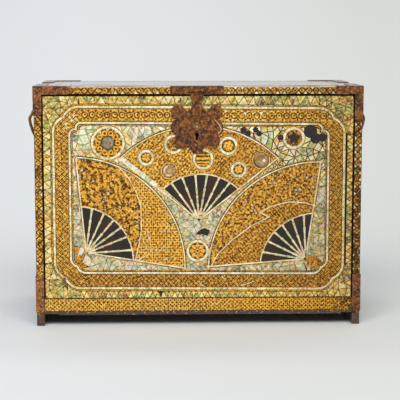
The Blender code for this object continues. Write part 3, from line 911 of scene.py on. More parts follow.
def shell_finish(name, bright, dull, drifting=1.0):
    """Mother-of-pearl: a piece's own shade, drifting to a bright and a dull one, with bands and cracks."""
    finish = Finish(name, 0.24, coat=0.15, coat_roughness=0.12)
    own, chance = finish.shade()
    turned = (finish.x * (chance * 2.0 - 1.0) + finish.z * (chance * -1.4 + 1.0)) * 0.9
    bands = (turned + finish.noise(7.0) * 5.0).math("SINE") * 0.5 + 0.5
    clouds = finish.noise(4.6, 4.0, roughness=0.7)
    drift = finish.noise(8.0, 2.0)
    colour = finish.mix(clouds.below(0.46, 0.10) * (0.8 * drifting), own, finish.times(own, dull))
    colour = finish.mix(clouds.above(0.54, 0.10) * (0.6 * drifting), colour, bright)
    colour = finish.mix(drift.above(0.58, 0.12) * 0.25, colour, pearl_pink)
    colour = finish.mix(bands * 0.14, colour, bright)
    cracks = finish.noise(1.6, 5.0, roughness=0.8).above(0.64, 0.06)
    colour = finish.mix(cracks * 0.5, colour, crack_brown)
    finish.colour(finish.aged_and_shaded(colour, 0.3))
    finish.bump(clouds + bands * 0.3, 0.05)
    return finish.material


def lacquer_finish(name, base, dust, gloss, coat, dust_level, specular=0.5, rim=None):
    """Lacquer, with brown showing where it is rubbed and a little dust; a rim may carry a pale painted
    highlight.
    """
    finish = Finish(name, gloss, specular=specular, coat=coat, coat_roughness=0.16)
    rubbed = finish.noise(34.0, 6.0, roughness=0.65)
    fine = finish.noise(1.1, 3.0, roughness=0.7)
    colour = finish.mix(rubbed.above(0.58, 0.22) * 0.5, base, lacquer_brown)
    colour = finish.mix(fine.above(dust_level, 0.06) * 0.8, colour, dust)
    # Painted highlight along a rim
    if rim:
        colour = finish.mix(rim(finish) * 0.85, colour, painted_rim_highlight)
    finish.colour(colour)
    finish.gloss((rubbed * 0.2).math("ADD", gloss - 0.08))
    finish.bump(rubbed + fine * 0.1, 0.10)
    return finish.material


def iron_finish(name, light=0.0, drawing=None, tint=None):
    """Beaten iron with a brown patina, pitted dark, redder in places and bright where it is rubbed."""
    finish = Finish(name, 0.5, metallic=0.45, specular=0.4, coat=0.2, coat_roughness=0.25)
    patches = finish.noise(9.0, 6.0, roughness=0.75)
    pits = finish.noise(3.4, 4.0, roughness=0.7)
    wide = finish.noise(26.0, 3.0)
    colour = finish.mix((patches + light).above(0.51, 0.12), iron_dark, iron_light)
    colour = finish.mix((wide - light).above(0.52, 0.12) * 0.35, colour, iron_red)
    colour = finish.mix((patches + light).below(0.43, 0.08) * 0.8, colour, iron_shade)
    colour = finish.mix(pits.below(0.44, 0.09) * 0.65, colour, iron_pit)
    colour = finish.mix((pits + light * 0.5).above(0.58, 0.08) * 0.5, colour, iron_rubbed)
    if drawing:
        colour = drawing(finish, colour)
    if tint:
        colour = finish.times(colour, tint)
    finish.colour(finish.aged_and_shaded(colour, 0.25))
    finish.gloss((pits * 0.4 + 0.32) * (finish.z.above(case_top + 0.4, 0.4) * -0.5 + 1.0))
    finish.bump(patches + pits * 0.6, 0.35)
    return finish.material


def hasp_drawing(finish, colour):
    """The hasp's pale edges and pale lozenge round the knob at its foot, partly rubbed iron and partly
    painted highlight, its yellower middle, and the pale knob.
    """
    aside = abs(finish.x - lock_x)
    middle = finish.z.line(hasp_middle_z, hasp_half_length, 2.0)
    colour = finish.mix(aside.below(4.6, 1.0) * middle * 0.45, colour, srgb(140, 78, 18))
    # Pale lines along the hasp's sides and round its foot: rubbed iron and painted highlight
    colour = finish.mix(aside.line(6.2, 0.4, 0.5) * middle * 0.6, colour, srgb(180, 134, 92))
    down = abs(finish.z - knob_z)
    colour = finish.mix((aside + down).line(6.0, 0.5, 0.6) * 0.8, colour, srgb(210, 156, 116))
    return finish.mix(aside.hypot(down).below(2.6, 0.5), colour, srgb(186, 172, 158))


def frame_material(material, *nodes):
    """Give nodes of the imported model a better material."""
    for node in nodes:
        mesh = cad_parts[node].data
        mesh.materials.clear()
        mesh.materials.append(material)


shell = shell_finish("shell", srgb(255, 250, 226), srgb(186, 190, 140), 0.7)
border_shell = shell_finish("border_shell", srgb(255, 242, 164), srgb(196, 170, 92))
disc_shell = shell_finish("disc_shell", srgb(216, 196, 146), srgb(180, 156, 104), 0.5)
gold_line = gold_finish("gold_line", specks(3.0, 3.0, 0.62, 0.1))
gold_leaf = gold_finish("gold_leaf", specks(2.4, 4.0, 0.62, 0.08), -0.2, -0.07, 0.5)
gold_drawn = gold_finish("gold_drawn", specks(2.4, 4.0, 0.64, 0.08), -0.2, -0.06)
gold_ground = gold_finish("gold_ground", specks(2.0, 4.0, 0.46, 0.1))
drawn_ground = gold_finish("drawn_ground", specks(2.0, 3.0, 0.36, 0.12))
mended_ground = gold_finish("mended_ground", lambda f: f.noise(4.0, 4.0).above(0.56, 0.16) * 0.6, 0.5)
black_ground, bare_ground, grey_ground, ink, gap_shadow, worn_wood = (
    lacquer_finish(name, srgb(*base), srgb(*dust), *numbers) for name, base, dust, *numbers in (
        ("black_ground", (45, 41, 37), (116, 98, 74), 0.55, 0.0, 0.68, 0.2),
        ("bare_ground", (40, 37, 38), (140, 132, 124), 0.55, 0.0, 0.64, 0.2),
        ("grey_ground", (62, 46, 40), (176, 160, 150), 0.6, 0.0, 0.56, 0.2),
        ("ink", (44, 28, 18), (96, 62, 32), 0.5, 0.1, 0.64, 0.5),
        ("gap_shadow", (22, 15, 10), (52, 32, 18), 0.7, 0.0, 0.66, 0.1),
        ("worn_wood", (112, 78, 44), (170, 128, 74), 0.8, 0.0, 0.56, 0.05)))
iron = iron_finish("beaten_iron")


def leaf_sheet(name, loops, pattern, shift=0.0, height=sheet_height):
    """The gold ground of one fan's leaf."""
    relief = Relief(name)
    relief.sheet(loops, height)
    return relief.finish(gold_finish(name + "_gold", pattern, shift), "gold_lacquer")


def build_leaf_grounds():
    """The gold grounds of the leaves; the middle one is left open round the keyhole."""
    keyhole = circle((lock_x, lock_z - keyhole_below_lock), keyhole_clear)
    leaf_sheet("left_fan_leaf", [leaf_outline(fans["left"])],
               lambda f: scales(f.x, f.z, 7.4, 9.0), -0.04)
    leaf_sheet("right_fan_leaf", [leaf_outline(fans["right"])],
               lambda f: weave(f, f.x, f.z, 4.8), 0.30)
    leaf_sheet("centre_fan_leaf", [leaf_outline(fans["centre"]), keyhole],
               lambda f: weave(f, f.x * -1.0, f.z, 4.8), lambda f: f.x.above(12.0, 50.0) * 0.20 - 0.05)


def leaf_shape(at, length, turn, draw):
    """A curled leaf with notched sides."""
    right = [(0.0, 0.0), (0.22, 0.24), (0.34, 0.15), (0.56, 0.30), (0.70, 0.14), (1.0, 0.04)]
    left = [(0.74, -0.20), (0.60, -0.10), (0.42, -0.27), (0.26, -0.12)]
    bend = draw.uniform(-0.35, 0.35)
    points = []
    for along, across in right + left:
        across += bend * along * along
        x, z = (along - 0.5) * length, across * length
        points.append((at[0] + x * math.cos(turn) - z * math.sin(turn),
                       at[1] + x * math.sin(turn) + z * math.cos(turn)))
    return points


def scroll_regions():
    """The parts of the side fans' leaves that carry scroll work."""
    left, right = fans["left"], fans["right"]
    left_region = [p for p in leaf_edge(left, 5.5) if p[0] < scroll_line[0][0]] + scroll_line
    left_region += reversed(black_edge(left, (left["leaf"][0] - 2.0, left["leaf"][1] + 2.0), -2.0))
    right_region = leaf_edge(right, 5.5) + list(reversed(zigzag_line))
    return left_region, right_region


def build_scrolls():
    """Gold leaves scattered over the outer parts of the side fans, with specks of shell between them."""
    relief = Relief("scroll_leaves", seed=5)
    shell_specks = Relief("scroll_specks", seed=6)
    left_region, right_region = scroll_regions()
    for name, region, spacing, long, dark in (("left_scroll_ground", left_region, 7.4, 13.5, 0.43),
                                              ("right_scroll_ground", right_region, 6.0, 8.5, 0.50)):
        leaf_sheet(name, [region], specks(2.6, 3.0, dark, 0.12), 0.1, ground_height)
        draw = relief.draw
        for at in scattered([region], spacing, draw):
            if draw.random() < speck_share:
                shell_specks.plate(circle(at, draw.uniform(1.2, 2.2), 1.2), leaf_height,
                                   draw.choice(speck_shells))
            else:
                turn = draw.uniform(0.0, 2.0 * math.pi)
                relief.plate(leaf_shape(at, long * draw.uniform(0.7, 1.2), turn, draw), leaf_height)
    relief.finish(gold_leaf, "gold_lacquer")
    shell_specks.finish(shell, "shell_inlay")


def build_fans():
    """Black sectors, ribs and guards of the three fans, and the lines round their leaves."""
    sectors = Relief("fan_sectors", seed=11)
    ribs = Relief("fan_ribs", seed=12)
    edges = Relief("fan_strings", seed=13)
    lines = Relief("fan_gold_lines", seed=14)
    shadows = Relief("fan_ink_lines", seed=15)
    for fan in fans.values():
        pivot, ends = fan["pivot"], (fan["ribs"][0], fan["ribs"][-1])
        sectors.plate([pivot] + black_edge(fan, ends, 0.8), sheet_height)
        for angle in fan["ribs"]:
            wide = 0.3 if angle in ends else 1.0
            line = [point_at(pivot, rib_start, angle),
                    met(pivot, angle, fan["black_arc"], fan["black"] - 1.0)]
            ribs.ribbon(line, lambda share: (2.2 + 1.8 * share) * wide, string_height, rib_shells, 18.0)
        ribs.ribbon(black_edge(fan, ends), 2.0, string_height, rib_shells, 14.0)
        if fan["rivet"]:
            lines.plate(circle(fan["rivet"], 3.0, 1.2), bare_height)
        edges.ribbon(leaf_edge(fan, 3.4), 2.1, string_height, string_shells, 16.0)
        lines.ribbon(leaf_edge(fan, 0.2), line_width, string_height)
        shadows.ribbon(leaf_edge(fan, 4.9), 0.8, ink_height)
        shadows.ribbon(leaf_edge(fan, 1.5), 1.4, ink_height)
        for side in (0, 1):
            tip = leaf_edge(fan, 1.0)[-side]
            away = Vector(tip) - Vector(pivot)
            across = Vector((-away.y, away.x)).normalized() * (1.0 if side == 0 else -1.0)
            first = Vector(pivot) + away.normalized() * rib_start
            edges.ribbon([first - across * 1.2, Vector(tip) - across * 2.6], 2.4, string_height,
                         string_shells, 18.0)
            lines.ribbon([first + across * 2.0, Vector(tip) + across * 0.6], line_width, string_height)
            shadows.ribbon([first + across * 0.7, Vector(tip) - across * 0.8], 0.9, ink_height)
    sectors.finish(black_ground, "black_lacquer")
    ribs.finish(shell, "shell_inlay")
    edges.finish(shell, "shell_inlay")
    lines.finish(gold_line, "gold_lacquer")
    shadows.finish(ink, "black_lacquer")


def build_guard_band():
    """The wide shell guard along the left side of the middle fan, in a wider and a narrower length."""
    fan = fans["centre"]
    relief = Relief("centre_fan_guard", seed=21)
    pivot, tip = Vector(fan["pivot"]), Vector(leaf_edge(fan)[0])
    along = (tip - pivot).normalized()
    across = Vector((along.y, -along.x))
    ends = (62.3, 95.3, (tip - pivot).length - 5.0)
    for start, end, width, shades in zip(ends, ends[1:], (5.6, 7.8), (rib_shells, pale_shells)):
        aside = across * 0.5 * width
        relief.ribbon([pivot + along * start + aside, pivot + along * end + aside], width,
                      string_height + 0.05, shades, 12.0)
    relief.finish(shell, "shell_inlay")


def build_leaf_lines():
    """Thin shell lines that cross the leaves."""
    relief = Relief("leaf_shell_lines", seed=23)
    for path, width in ((scroll_line, 1.7), (angle_line, 1.2), (zigzag_line, 1.8)):
        relief.ribbon(path, width, string_height, string_shells, 14.0)
    relief.finish(shell, "shell_inlay")


def build_frames():
    """The two shell strings round the field, with gold and ink lines beside them."""
    strings = Relief("frame_strings", seed=31)
    strings.ribbon(outer_frame(), string_width, string_height, string_shells, 13.0, closed=True)
    strings.finish(border_shell, "shell_inlay")
    inner = Relief("inner_string", seed=35)
    inner.ribbon(inner_frame(), string_width - 0.7, string_height, string_shells, 12.0, closed=True)
    inner.finish(shell, "shell_inlay")
    lines = Relief("frame_gold_lines", seed=32)
    lines.ribbon(outer_frame(line_beside_string), line_width, string_height, closed=True)
    lines.ribbon(inner_frame(-line_beside_string), line_width, string_height, closed=True)
    lines.finish(gold_line, "gold_lacquer")
    shadows = Relief("frame_ink_lines", seed=34)
    for out, width in ((-2.5, 0.9), (2.5, 0.9), (line_beside_string + 1.2, 1.0)):
        shadows.ribbon(outer_frame(out), width, ink_height, closed=True)
        shadows.ribbon(inner_frame(-out), width, ink_height, closed=True)
    for x in (-233.6, 229.8):
        shadows.ribbon([(x, 66.0), (x + 0.8, 190.0), (x - 0.3, 352.0)], 1.1, ink_height, piece=5.0,
                       joint=2.4)
    shadows.finish(ink, "black_lacquer")


def build_gaps():
    """Painted shade in the gaps round the front panel, and a dark line outside the outer string on the
    right.
    """
    gaps = Relief("panel_gap_lines", seed=36)
    gaps.ribbon(three_sides(half_panel - 0.5, panel_foot + 0.4, panel_top - 0.5), 1.0, string_height)
    beside = outer_right + 3.7
    gaps.ribbon([(beside, outer_foot + 40.0), (beside, outer_top - 44.0)], 2.0, raised_height)
    gaps.finish(gap_shadow, "black_lacquer")
    # Painted shade in the gap round the opening, on the rail and the posts
    edges = Relief("opening_edge_lines", rail_face, seed=37)
    edges.ribbon(three_sides(half_inside + 0.5, panel_foot + 1.0, rail_under + 0.5), 1.0, ground_height)
    edges.finish(gap_shadow, "black_lacquer")


def build_gold_band():
    """The band between the two strings, deeper in tone at its foot and paler along its top."""
    band = Relief("gold_band", seed=33)
    band.sheet([outer_frame(), inner_frame()], sheet_height)
    gold = gold_finish("gold_band", band_pattern,
                       lambda f: f.z.below(94.0, 6.0) * 0.16 - f.z.above(345.0, 10.0) * 0.16)
    band.finish(gold, "gold_lacquer")


def triangle_row(start, end, far_start, far_end, pitch, joint, draw, uneven):
    """Triangles that point one way and the other in turn, between a line and one beside it."""
    start, end, far_start, far_end = (Vector(point) for point in (start, end, far_start, far_end))
    count = round((end - start).length / pitch)
    near, far = [start], [far_start]
    for step in range(1, count):
        near.append(start.lerp(end, (step + draw.uniform(-uneven, uneven)) / count))
        far.append(far_start.lerp(far_end, (step - 0.5 + draw.uniform(-uneven, uneven)) / count))
    near.append(end)
    far += [far_start.lerp(far_end, 1.0 - 0.5 / count), far_end]
    rows = [(near[i], near[i + 1], far[i + 1]) for i in range(count)]
    rows += [(far[i], near[i], far[i + 1]) for i in range(count + 1)]
    made = [inset_polygon([a, b, c] if (b - a).cross(c - a) > 0.0 else [a, c, b], 0.5 * joint)
            for a, b, c in rows]
    return [outline for outline in made if outline]


def build_border_mosaic():
    """Shards outside the outer string: rows of triangles, and loose shards in the corners."""
    bends = lobed_corners(*outer_field, line_beside_string + 0.9)
    edge = 0.6
    low, high, reach = panel_foot + edge, panel_top - edge, half_panel - edge
    upper_left, upper_right, lower_right, lower_left = bends
    relief = Relief("border_shards", seed=41)
    lost = Relief("lost_triangle", seed=44)
    draw = relief.draw
    outlines = []
    # Each row: its ends on the string, the panel's edge as x or z, the pitch, the joint and the unevenness
    for start, end, far, pitch, joint, uneven in (
            (upper_left[-1], upper_right[0], (None, high), 15.0, border_joint, 0.16),
            (lower_left[0], lower_right[-1], (None, low), 9.6, border_joint, 0.07),
            (lower_left[-1], upper_left[0], (-reach, None), 13.0, border_joint, 0.20),
            (lower_right[0], upper_right[-1], (reach, None), 11.4, 1.5, 0.08)):
        beside = [tuple(value if line is None else line for line, value in zip(far, point))
                  for point in (start, end)]
        outlines += triangle_row(start, end, *beside, pitch, joint, draw, uneven)
    corners = rectangle(-reach, high, reach, low)
    for step, (bend, (x, z)) in enumerate(zip(bends, corners)):
        first, last = bend[0], bend[-1]
        ends = [(x, first[1]), (x, z), (last[0], z)]
        if step % 2:
            ends = [(first[0], z), (x, z), (x, last[1])]
        outlines += shards([ends + list(reversed(bend))], shard_pitch, border_joint, merged=0.10,
                           draw=draw)
    for outline in outlines:
        x, z = middle_of(outline)
        if math.dist((x, z), lost_triangle) < 4.0:
            lost.plate(outline, shard_height)
            continue
        amber = draw.random() < 0.15 + 0.7 * (x > 235.0 or (x > dark_from_x and z < 62.0))
        shade = draw.choice(amber_shells if amber else border_shells)
        if z > outer_top:
            shade = tuple(0.80 * value for value in shade)
        relief.plate(outline, shard_height, shade, tilt=0.01, taper=0.04)
    relief.finish(border_shell, "shell_inlay")
    lost.finish(bare_ground, "black_lacquer")


def build_ground_mosaic():
    """Shards between the fans and roundels, left out where the shell has come away or was mended."""
    loops = [inner_frame(-line_beside_string - 0.8)] + [fan_outline(fan) for fan in fans.values()]
    loops += [circle(roundels[name]["at"], roundels[name]["radius"] + 1.6)
              for name in ("upper_left", "upper_right", "lower")]
    relief = Relief("ground_shards", seed=42)
    bare = Relief("bare_ground", seed=43)
    for outline in shards(loops, shard_pitch, ground_joint, merged=0.45, draw=relief.draw):
        x, z = middle_of(outline)
        if any(inside((x, z), patch) for patch in mended_patches):
            continue
        if x > dark_from_x and z > dark_from_z:
            outline = inset_polygon(outline, 0.4) or outline
        warm = relief.draw.random() < (0.55 if x > dark_from_x else 0.2)
        shade = relief.draw.choice(border_shells if warm else ground_shells)
        if z < low_ground_top:
            shade = tuple(0.70 * value for value in shade)
        relief.plate(outline, shard_height, shade, tilt=0.006, taper=0.03)
    for x, z, radius in bare_spots:
        bare.plate(circle((x, z), radius), bare_height)
    bare.plate(bare_patch, bare_height)
    relief.finish(shell, "shell_inlay")
    bare.finish(bare_ground, "black_lacquer")


def petal(at, start, end, turn, width):
    """A pointed petal from one radius to another."""
    middle = 0.55 * (start + end)
    half = math.degrees(0.5 * width / middle)
    return [point_at(at, start, turn), point_at(at, middle, turn - half), point_at(at, end, turn),
            point_at(at, middle, turn + half)]


def draw_rosette(at, radius, gold, discs):
    """A ring of small circles and petals round a grey disc."""
    discs.plate(circle(at, 0.34 * radius), string_height, srgb(92, 96, 84))
    discs.ribbon(circle(at, 0.22 * radius), 0.9, raised_height, [srgb(150, 144, 112)], closed=True)
    for turn in range(0, 360, 36):
        ring = circle(point_at(at, 0.59 * radius, turn), 0.12 * radius, 1.2)
        gold.ribbon(ring, 2.2, leaf_height, closed=True)
        gold.plate(petal(at, 0.62 * radius, 0.87 * radius, turn + 18.0, 6.4), leaf_height)


def draw_chrysanthemum(at, radius, gold, discs):
    """Eight petals round a small ring."""
    for turn in range(0, 360, 45):
        gold.plate(petal(at, 0.20 * radius, 0.76 * radius, turn, 0.40 * radius), leaf_height)
    gold.ribbon(circle(at, 2.9, 1.0), 1.5, string_height, closed=True)


def draw_bars(at, radius, gold, discs):
    """Four level bars that end inside the ring."""
    for rise, width in ((-0.54, 2.2), (-0.29, 2.4), (0.07, 4.0), (0.42, 1.6)):
        half = 0.92 * math.sqrt((radius - ring_width) ** 2 - (rise * radius) ** 2)
        level = at[1] + rise * radius
        gold.ribbon([(at[0] - half, level), (at[0] + half, level)], width, leaf_height)


def draw_star(at, radius, gold, discs):
    """Yellow petals between the points of a dark star, which is a piece of its own."""
    for turn in range(0, 360, 36):
        yellow = petal(at, 0.60 * radius, 0.80 * radius, turn + 18.0, 2.4)
        discs.plate(yellow, leaf_height, srgb(150, 140, 70))


def draw_flower(at, radius, gold, discs):
    """Eight petals that meet in the middle."""
    inner = radius - ring_width
    for step in range(8):
        gold.plate(petal(at, 0.05 * inner, 0.92 * inner, 45.0 * step + 12.0, 0.40 * inner), leaf_height)


def draw_hexagon(at, radius, gold, discs):
    """Six dots round a seventh."""
    inner = radius - ring_width
    for step in range(6):
        gold.plate(circle(point_at(at, 0.50 * inner, 60.0 * step + 12.0), 0.25 * inner, 1.0), leaf_height)
    gold.plate(circle(at, 0.26 * inner, 1.0), leaf_height)


drawings = {"rosette": draw_rosette, "chrysanthemum": draw_chrysanthemum, "bars": draw_bars,
            "star": draw_star, "flower": draw_flower, "hexagon": draw_hexagon}


def build_roundels():
    """Rings of shell round gold drawings."""
    rings = Relief("roundel_rings", seed=51)
    grounds = Relief("roundel_grounds", seed=52)
    drawn = Relief("roundel_drawn_grounds", seed=56)
    gold = Relief("roundel_gold", seed=53)
    discs = Relief("shell_discs", seed=54)
    dark = Relief("roundel_star", seed=55)
    shadows = Relief("roundel_ink_lines", seed=57)
    for roundel in roundels.values():
        at, radius, drawing = roundel["at"], roundel["radius"], roundel["drawing"]
        (grounds if drawing in ("plain", "star") else drawn).plate(circle(at, radius - 1.0), ground_height)
        rings.ribbon(circle(at, radius - 0.5 * ring_width), ring_width, string_height, string_shells, 9.0,
                     closed=True)
        shadows.ribbon(circle(at, radius + 0.4), 1.0, ring_ink_height, closed=True)
        gold.ribbon(circle(at, radius + 1.5), line_width, string_height, closed=True)
        if drawing != "plain":
            drawings[drawing](at, radius, gold, discs)
        if drawing == "star":
            points = [point_at(at, (0.36 if s % 2 else 0.64) * radius, 90.0 + 36.0 * s) for s in range(10)]
            dark.plate(points, leaf_height + 0.1)
    draw_shell_discs(discs, gold, shadows)
    rings.finish(shell, "shell_inlay")
    grounds.finish(gold_ground, "gold_lacquer")
    drawn.finish(drawn_ground, "gold_lacquer")
    gold.finish(gold_drawn, "gold_lacquer")
    discs.finish(disc_shell, "shell_inlay")
    dark.finish(bare_ground, "black_lacquer")
    shadows.finish(ink, "black_lacquer")


def draw_shell_discs(discs, gold, shadows):
    """The two plain discs of shell, each with a gold ring, and marks on them: white arcs and a white spot
    that are painted highlights, an amber middle and a dark arc.
    """
    for disc, shade in zip(shell_discs.values(), (srgb(160, 122, 66), srgb(140, 106, 48))):
        at, radius = disc["at"], disc["radius"]
        discs.plate(circle(at, radius), leaf_height, shade)
        shadows.ribbon(circle(at, radius + 0.5), 0.9, ring_ink_height, closed=True)
        gold.ribbon(circle(at, disc["ring"]), 1.5, string_height, closed=True)
        shadows.ribbon(circle(at, disc["ring"] + 1.3), 0.9, ring_ink_height, closed=True)
    at, radius = shell_discs["left"]["at"], shell_discs["left"]["radius"]
    # Painted highlights: white arcs near the left disc's rim
    for start, end, share in ((110.0, 185.0, 0.72), (235.0, 305.0, 0.70)):
        line = arc(at, share * radius, start, end, 1.5)
        discs.ribbon(line, 2.2, string_height, [srgb(240, 232, 206)])
    discs.plate(circle(at, 0.30 * radius, 1.0), string_height, srgb(214, 158, 62))
    at, radius = shell_discs["right"]["at"], shell_discs["right"]["radius"]
    # A painted highlight: a white spot on the right disc
    discs.plate(circle((at[0] + 5.1, at[1] - 0.5), 2.5, 0.8), string_height, srgb(252, 250, 240))
    shadows.ribbon(arc(at, 0.90 * radius, 175.0, 260.0, 1.5), 1.8, string_height)


def build_patches():
    """Brown lacquer where the field was mended, and a worn corner of the frame."""
    relief = Relief("mended_patches", seed=61)
    for patch in mended_patches:
        relief.plate(patch, leaf_height)
    relief.finish(mended_ground, "gold_lacquer")
    worn = Relief("worn_corner", seed=62)
    for x, z, size in worn_corner:
        worn.plate([point_at((x, z), size * worn.draw.uniform(0.6, 1.2), turn)
                    for turn in range(0, 360, 45)], bare_height)
    worn.finish(grey_ground, "black_lacquer")


def triangle(at, width, height):
    """An upright triangle, or one that hangs where the height is negative."""
    return [(at[0] - 0.5 * width, at[1]), (at[0] + 0.5 * width, at[1]), (at[0], at[1] + height)]


def star(at, radius):
    """A star with four sharp points."""
    return [point_at(at, 0.36 * radius if s % 2 else radius, 90.0 + 45.0 * s) for s in range(8)]


def build_shell_triangles():
    """Small triangles of shell along the rail and the posts, and stars and triangles in the band."""
    relief = Relief("shell_triangles", rail_face, seed=71)
    draw = relief.draw
    for x in rail_triangles:
        relief.plate(triangle((x, rail_under + 1.0), 6.0, 4.6), leaf_height, draw.choice(string_shells))
    for step in range(4, 20):
        x = lock_x + (step + 0.5) * rail_pitch
        relief.plate(triangle((x, rail_under + 1.0), 6.4, 4.2), leaf_height, draw.choice(ground_shells))
        if draw.random() < 0.6:
            relief.plate(triangle((x, case_top - 1.2), 6.0, -3.6), leaf_height, draw.choice(ground_shells))
    for side, step, edge in itertools.product((-1, 1), range(24), (-1, 1)):
        z = post_pattern_foot + (step + 0.5) * rail_pitch
        if draw.random() < kept_on_post[side] and z < 350.0:
            x = side * 0.5 * (half_inside + half_case) + 5.6 * edge
            size = 3.0 if z > 190.0 or side < 0 else 2.1
            points = [(x, z - size), (x - 1.15 * size * edge, z), (x, z + size)]
            relief.plate(points[::edge], leaf_height, draw.choice(pale_shells))
    relief.finish(shell, "shell_inlay")
    band = Relief("band_triangles", seed=72)
    for x, z, width in band_triangles:
        band.plate(triangle((x, z), width, -0.95 * width), leaf_height, band.draw.choice(string_shells))
    for at in frame_stars:
        band.plate(star(at, 3.9), leaf_height, band.draw.choice(string_shells))
    for path in scratches:
        band.ribbon(path, lambda share: 1.3 - 0.6 * share, leaf_height, string_shells)
    band.finish(shell, "shell_inlay")


def build_rail():
    """Gold drawing on the front edge of the top board."""
    middle = 0.5 * (rail_under + case_top)
    reach = half_case - board_edge
    rail = Relief("rail_gold", rail_face)
    rail.plate(rectangle(-reach, rail_under + board_edge, reach, case_top - board_edge), sheet_height)
    rail.finish(gold_finish("rail_gold", lambda f: lozenges(f.x - lock_x, f.z - middle, rail_pitch, 13.4),
                            0.26), "gold_lacquer")


def build_posts():
    """Gold drawing on the front edges of the side boards, more worn low on the right."""
    posts = Relief("post_gold", rail_face)
    for side in (-1, 1):
        near, far = side * (half_inside + board_edge), side * (half_case - board_edge)
        posts.plate(rectangle(near, 20.0, far, rail_under - board_edge), sheet_height)
    centre = 0.5 * (half_inside + half_case)

    def post_pattern(finish):
        worn = finish.noise(11.0, 4.0, roughness=0.65)
        low_right = finish.x.above(0.0, 1.0) * finish.z.below(240.0, 160.0) * 0.11
        drawn = lozenges(finish.z - post_pattern_foot, abs(finish.x) - centre, rail_pitch, 12.5)
        return drawn.either((worn - low_right).below(0.44, 0.08))

    posts.finish(gold_finish("post_gold", post_pattern, 0.03, 0.02), "gold_lacquer")


def build_base():
    """Small rings on the front edge of the bottom board, and gold curls on the apron under it."""
    base = Relief("base_gold", rail_face)
    reach = half_inside - 1.2
    base.plate(rectangle(-reach, apron_foot + 7.4, reach, panel_foot - 1.2), sheet_height)

    def base_pattern(finish):
        ends = finish.x.above(238.0, 24.0) * finish.noise(5.0, 4.0).above(0.47, 0.10)
        return small_rings(finish.x, finish.z - 36.8, 7.0).either(ends)

    base.finish(gold_finish("base_gold", base_pattern, -0.1), "gold_lacquer")
    curls = Relief("apron_curls", rail_face, seed=75)
    draw = curls.draw
    for step in range(int(2.0 * reach / curl_pitch)):
        x = -reach + curl_pitch * (step + draw.uniform(0.2, 0.8))
        z = apron_foot + draw.uniform(2.0, 5.4)
        if abs(x) < reach - 6.0 and draw.random() < 0.7:
            turn = draw.uniform(0.0, 180.0)
            curl = arc((x, z), draw.uniform(1.4, 2.4), turn, turn + draw.uniform(90.0, 200.0), 0.8)
            curls.ribbon(curl, 0.8, sheet_height)
    curls.finish(gold_line, "gold_lacquer")


def add_nails(name, face, places, radius, height, seed):
    """A row of nail heads on one face."""
    relief = Relief(name, face, seed)
    for place in places:
        relief.dome(place, radius, height)
    relief.finish(iron, "brown_iron")


def build_nails():
    """Nail heads on the iron mounts, the lock plate and the top, and a painted highlight along the plate's
    edge.
    """
    add_nails("mount_nails", forward_face(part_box("left_foot_strap")[0].y), mount_nails, 1.7, 0.8, 81)
    plate_face = forward_face(plate_low.y)
    add_nails("lock_plate_nails", plate_face, plate_nails, 1.8, 0.9, 82)
    # A pale painted highlight along the right lobe of the lock plate
    bright = Relief("lock_plate_bright_edge", plate_face, seed=84)
    bright.ribbon(painted_highlight_edge, lambda share: 0.7 + 0.8 * share * (1.0 - share) * 2.0, sheet_height,
                  [srgb(226, 178, 142)])
    bright.finish(shell, "brown_iron")
    add_nails("top_nails", top_face, top_nails, 1.6, 0.7, 83)


def framed_face(name, place, left, right, foot, top, pattern, seed):
    """A plainer frame for a hidden face: a gold band between two shell strings."""
    width = 24.0
    outer = rounded_frame(left, right, foot, top, 20.0)
    inner = rounded_frame(left + width, right - width, foot + width, top - width, 9.0)
    strings = Relief(name + "_strings", place, seed)
    strings.ribbon(outer, string_width - 0.6, string_height, string_shells, 16.0, closed=True)
    strings.ribbon(inner, string_width - 1.2, string_height, string_shells, 16.0, closed=True)
    strings.finish(shell, "shell_inlay")
    band = Relief(name + "_band", place, seed + 1)
    band.sheet([outer, inner], sheet_height)
    band.finish(gold_finish(name + "_gold", pattern, 0.04), "gold_lacquer")


def framing_line(name, place, aside, foot, top, seed):
    """One gold line round a face, set in from its sides."""
    line = Relief(name, place, seed)
    line.ribbon(rounded_frame(aside - half_case, half_case - aside, foot, top, 16.0), 2.4, string_height,
                closed=True)
    line.finish(gold_line, "gold_lacquer")


def build_other_faces():
    """The sides in keeping with the front, a plain gold line on top and back, and worn places on top."""
    deep = (top_high.y - top_low.y) / mm
    framing_line("top_line", top_face, 34.0, 44.0, deep - 30.0, 91)
    reach = 0.5 * deep - 22.0
    for name, place, seed in (("left", left_face, 93), ("right", right_face, 95)):
        framed_face(name + "_side", place, -reach, reach, 96.0, 330.0,
                    lambda f: lozenges(f.y, f.z, 10.0, 10.0), seed)
    framing_line("back_lines", back_face, 30.0, 50.0, case_top - 30.0, 97)
    edge = Relief("top_worn_streaks", top_face, seed=98)
    draw = edge.draw
    for _ in range(streaks_on_top):
        x, y = draw.uniform(-225.0, 225.0), 3.5 + 34.0 * draw.random() ** 1.7
        long, wide = draw.uniform(10.0, 34.0), draw.uniform(1.6, 3.4)
        if abs(x - lock_x) < 62.0 + long and y < 40.0:
            continue
        turns = [math.pi * step / 6 for step in range(12)]
        streak = [(x + long * math.cos(a), y + wide * math.sin(a) * draw.uniform(0.6, 1.3)) for a in turns]
        edge.plate(streak, sheet_height)
    edge.plate(top_scar, sheet_height)
    edge.finish(worn_wood, "black_lacquer")


def panel_pattern(finish):
    """The ground that shows in the joints of the mosaic, black at the upper right of the field."""
    black = finish.x.above(dark_from_x, 20.0) * finish.z.above(dark_from_z, 12.0)
    black = black * finish.x.below(inner_right, 2.0)
    return finish.noise(2.6, 4.0).above(0.44, 0.12).either(black)


